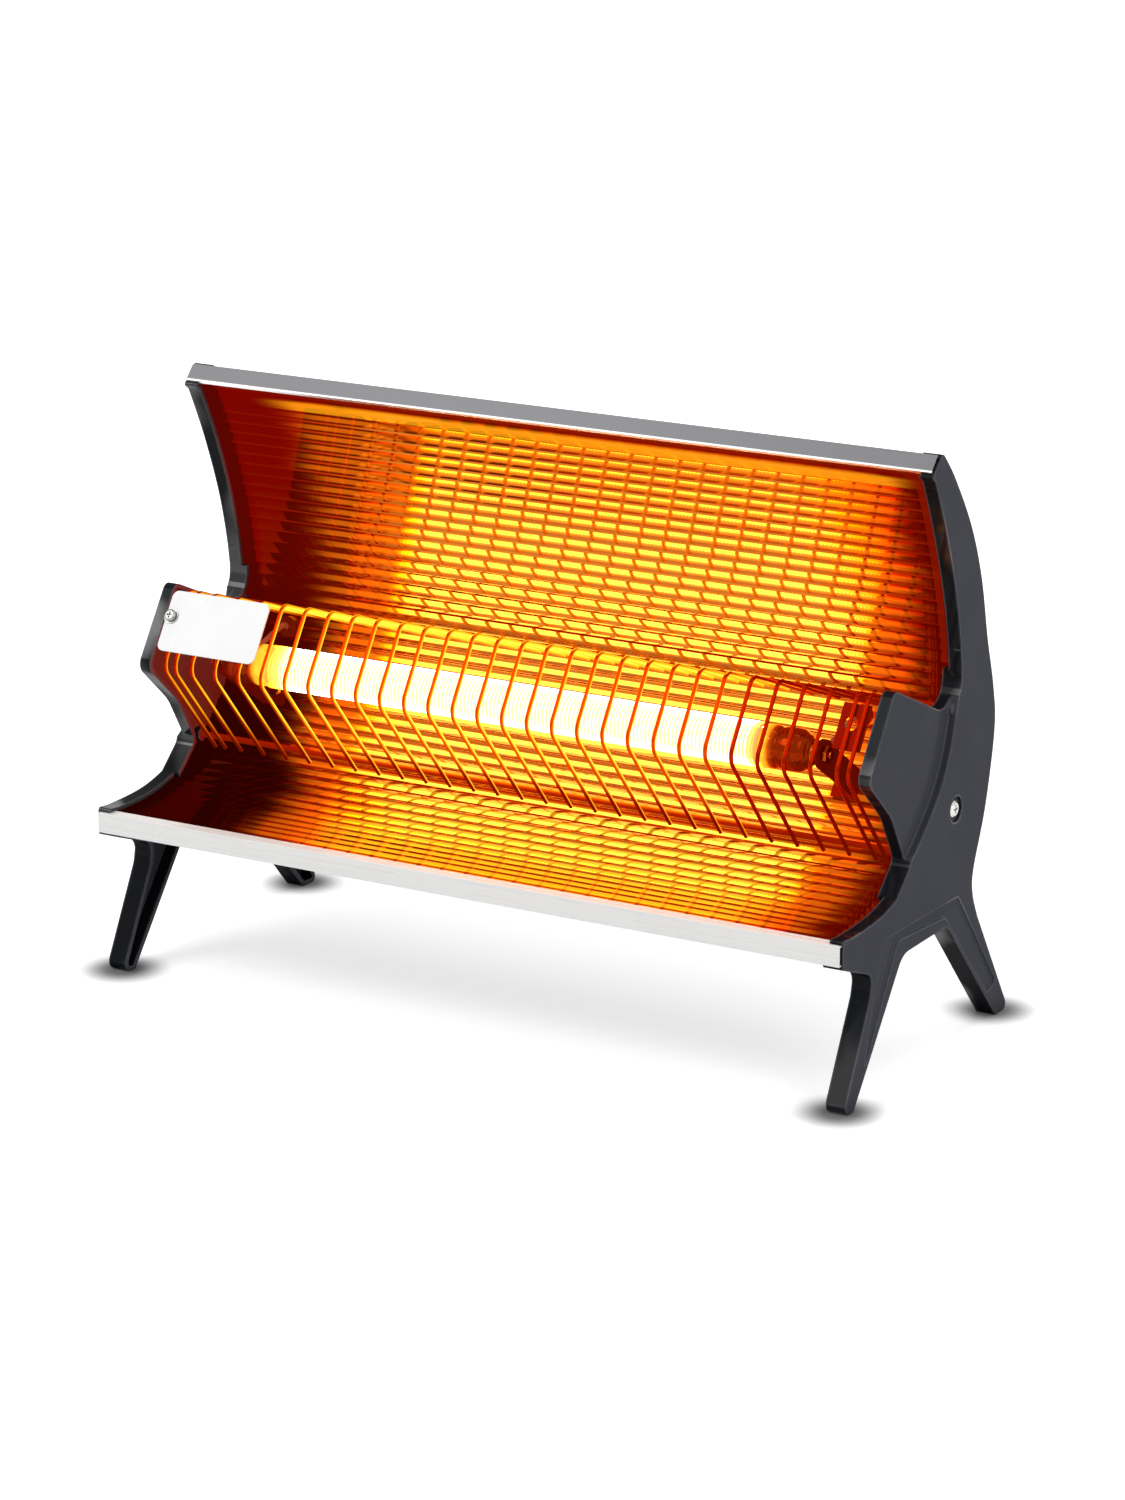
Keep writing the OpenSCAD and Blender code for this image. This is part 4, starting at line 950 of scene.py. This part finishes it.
for name, face, direction in (("left_bush", coil_low, -1), ("right_bush", coil_high, 1)):
    turned = lathe_points(bush_profile(face, direction), element_at, 48)
    mesh = grid_mesh("turned_" + name, turned, round_rows=True, round_columns=True)
    bush = piece_of(mesh, [name], glow_lit_glaze)
    rounding = bush.modifiers.new("soften", "SUBSURF")
    rounding.levels = rounding.render_levels = 1

# %% [markdown]
# ## Leads behind the reflector
#
# Two sleeved leads run from the tags on the element, through porcelain bushes in the reflector, to the
# terminal block, and an earth lead runs from the block to its tag. Each is a round tube on the same route
# as its solid, drawn through a few listed points, in millimetres: straight out of the tag, through
# its bush along the bush's own axis, down behind the sheet, and straight into the block.

# %% Leads
lead_radius = 0.0013
tag_y, tag_z, right_tag_x, left_tag_x = -9.6, 147.5, 150.7, -166.7
block_z, pole_y = 79.3, 30.5
bush_at, bush_way = np.array([32.97, 152.01]), [0.975, -0.222]
through_bush = bush_at + np.outer([-9, -4, 0, 4, 9], bush_way)


def from_tag(x):
    return [(x, tag_y + step, tag_z) for step in (1, 5, 10)] + [(x, y, z) for y, z in through_bush]


def into_block(x):
    return [(x, pole_y + step, block_z) for step in (8, 4, 0.5, -4)]


lead_routes = {
    "left_element_lead": from_tag(left_tag_x)
    + [(left_tag_x + 16, 50, 125), (left_tag_x + 32, 44, 102), (-103.67, 38, 88)]
    + into_block(-74.67),
    "right_element_lead": from_tag(right_tag_x)
    + [(right_tag_x - 16, 50, 125), (right_tag_x - 39, 46, 104), (right_tag_x - 76, 41, 94)]
    + [(10, 38, 92), (-34, 38, 90)]
    + into_block(-60),
    "earth_lead": into_block(-45.33)[::-1]
    + [(-36, 38, 79.3), (-27, 27, 77.2), (-20, 22, 77.2), (-14, 22, 77.2)],
}
lead_looks = {
    "left_element_lead": ("lead_sleeve", lead_sleeve),
    "right_element_lead": ("lead_sleeve", lead_sleeve),
    "earth_lead": ("lead_green", lead_green),
}
for name, keys in lead_routes.items():
    route = smooth_through(0.001 * np.array(keys), 8)
    tube = tube_points(route, lead_radius, 14, np.array([0.13, 0.21, 0.97]))
    slot, finish = lead_looks[name]
    piece_of(grid_mesh("smooth_" + name, tube, round_columns=True, capped=True), [name], finish)
    print("length, mm:", round(1000 * np.linalg.norm(np.diff(route, axis=0), axis=1).sum()))

# %% [markdown]
# ## Rounded castings, trims and plate
#
# The frames, trims and name plate keep their solids' shape and get their rounded edges here. A casting
# takes half a millimetre, and the sheet parts less than a third of their thickness.

# %% Rounded pieces
rounded_copy("left_end_frame", 0.0005, frame_enamel)
rounded_copy("right_end_frame", 0.0005, frame_enamel)
rounded_copy("top_trim", 0.00025, shaded_top_trim)
rounded_copy("bottom_trim", 0.00025, trim_metal)
rounded_copy("name_plate", 0.0002, plate_white)

# %% [markdown]
# ## Finishes for the solids that stay
#
# Screws, nuts, brackets, rails and the parts inside the case are right as they are. Each takes the
# finish of what it is made of.

# %% Assign finishes
stays = {
    plain_steel: ["left_end_plate", "right_end_plate", "bracket_nuts"],
    dull_steel: ["name_plate_screw"],
    screw_steel: ["block_screws", "earth_screw", "side_screws", "back_cover_screws"],
    orange_lit_steel: ["tie_rod", "tie_rod_nuts", "bracket_screws", "terminal_tags"],
    plated_brass: ["earth_tag"],
    cover_enamel: ["back_cover"],
    rail_metal: ["guard_top_rail", "guard_bottom_rail"],
    red_lit_steel: ["guard_tabs", "element_brackets"],
    core_glow: ["ceramic_core"],
    glow_lit_glaze: ["lead_bushes"],
    block_plastic: ["terminal_block"],
    gland_rubber: ["cord_gland"],
}
for finish, names in stays.items():
    for name in names:
        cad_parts[name].data.materials.clear()
        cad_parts[name].data.materials.append(finish.material)
print("solids dressed:", sum(len(names) for names in stays.values()))

# %% [markdown]
# ## Floor, light and background
#
# A pale floor keeps the shadow of the heater, and a little light of its own, seen only by the camera and
# in reflections, lifts it to the white of the page. Under each of the four feet a contact shadow is painted:
# both the floor's colour and its lift fade to dark within three centimetres of the foot, where hardly any
# light reaches the floor.

# %% Floor finish
frame_points = np.array([tuple(corner.co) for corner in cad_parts["left_end_frame"].data.vertices])
foot_y = frame_points[frame_points[:, 2] < 0.006, 1]
foot_places_y = [float(foot_y[foot_y < 0].mean()), float(foot_y[foot_y > 0].mean())]
foot_places_x = [(low.x + high.x) / 2 for low, high in map(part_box, ("left_end_frame", "right_end_frame"))]
floor_finish = Finish("pale floor")
_, (x, y, z) = floor_finish.place()
# painted shadow: the floor's colour and lift fade to dark near each foot
clear = 1.0
for foot_at_x in foot_places_x:
    for foot_at_y in foot_places_y:
        from_foot = ((x - foot_at_x) ** 2 + (y - foot_at_y) ** 2).math("SQRT")
        clear = from_foot.ramp(0.006, 0.027) * clear
away = (x**2 + (y - 0.1) ** 2).math("SQRT").ramp(0.15, 1.3)
lift = floor_finish.mix(away, (0.60, 0.60, 0.60), (1.0, 1.0, 1.0))
lift = floor_finish.mix(clear, (0.03, 0.03, 0.03), lift)
lift = floor_finish.mix(floor_finish.seen(), (0.0, 0.0, 0.0), lift)
floor_finish.give(Base_Color=floor_finish.mix(clear, (0.20, 0.20, 0.20), (0.80, 0.80, 0.80)))
floor_finish.give(Emission_Color=lift, Emission_Strength=1.0, Roughness=0.9, Specular_IOR_Level=0.0)
print("feet stand at y:", np.round(foot_places_y, 4).tolist())

# %% Floor
half = 6.0
floor_points = np.array([[[-half, -half, 0], [half, -half, 0]], [[-half, half, 0], [half, half, 0]]])
floor_mesh = grid_mesh("floor", floor_points)
floor_mesh.materials.append(floor_finish.material)
floor = bpy.data.objects.new("floor", floor_mesh)
bpy.context.scene.collection.objects.link(floor)
print("floor:", 2 * half, "m square")

# %% [markdown]
# The world lights the heater evenly at 0.45, and is white, at 1, only where it is seen.

# %% World
lit, white = 0.45, 1.0
world = bpy.data.worlds.new("studio")
bpy.context.scene.world = world
world.use_nodes = True
sky = Nodes(world.node_tree)
background = world.node_tree.nodes["Background"]
sky.join(background.inputs["Color"], (1.0, 1.0, 1.0))
sky.join(background.inputs["Strength"], sky.seen() * (white - lit) + lit)
print("world:", lit, "on the heater,", white, "where it is seen")

# %% [markdown]
# The lamps are large and soft: a key from the front left, a weaker fill from the right, and one above and
# behind, which draws the top trim and the rims.


# %% Lamps
def soft_lamp(name, at, size, power):
    """A square lamp of `size` metres a side at `at`, turned to the heater."""
    data = bpy.data.lights.new(name, "AREA")
    data.shape, data.size, data.energy = "SQUARE", size, power
    lamp = bpy.data.objects.new(name, data)
    lamp.location = at
    lamp.rotation_mode = "QUATERNION"
    lamp.rotation_quaternion = (Vector((0, 0, 0.1)) - Vector(at)).to_track_quat("-Z", "Y")
    bpy.context.scene.collection.objects.link(lamp)
    print("lamp:", name, power, "W")


soft_lamp("key", (-1.2, -1.6, 2.0), 1.4, 26.0)
soft_lamp("fill", (1.9, -0.6, 1.3), 1.4, 12.0)
soft_lamp("top", (0.2, 0.8, 2.2), 1.6, 14.0)

# %% [markdown]
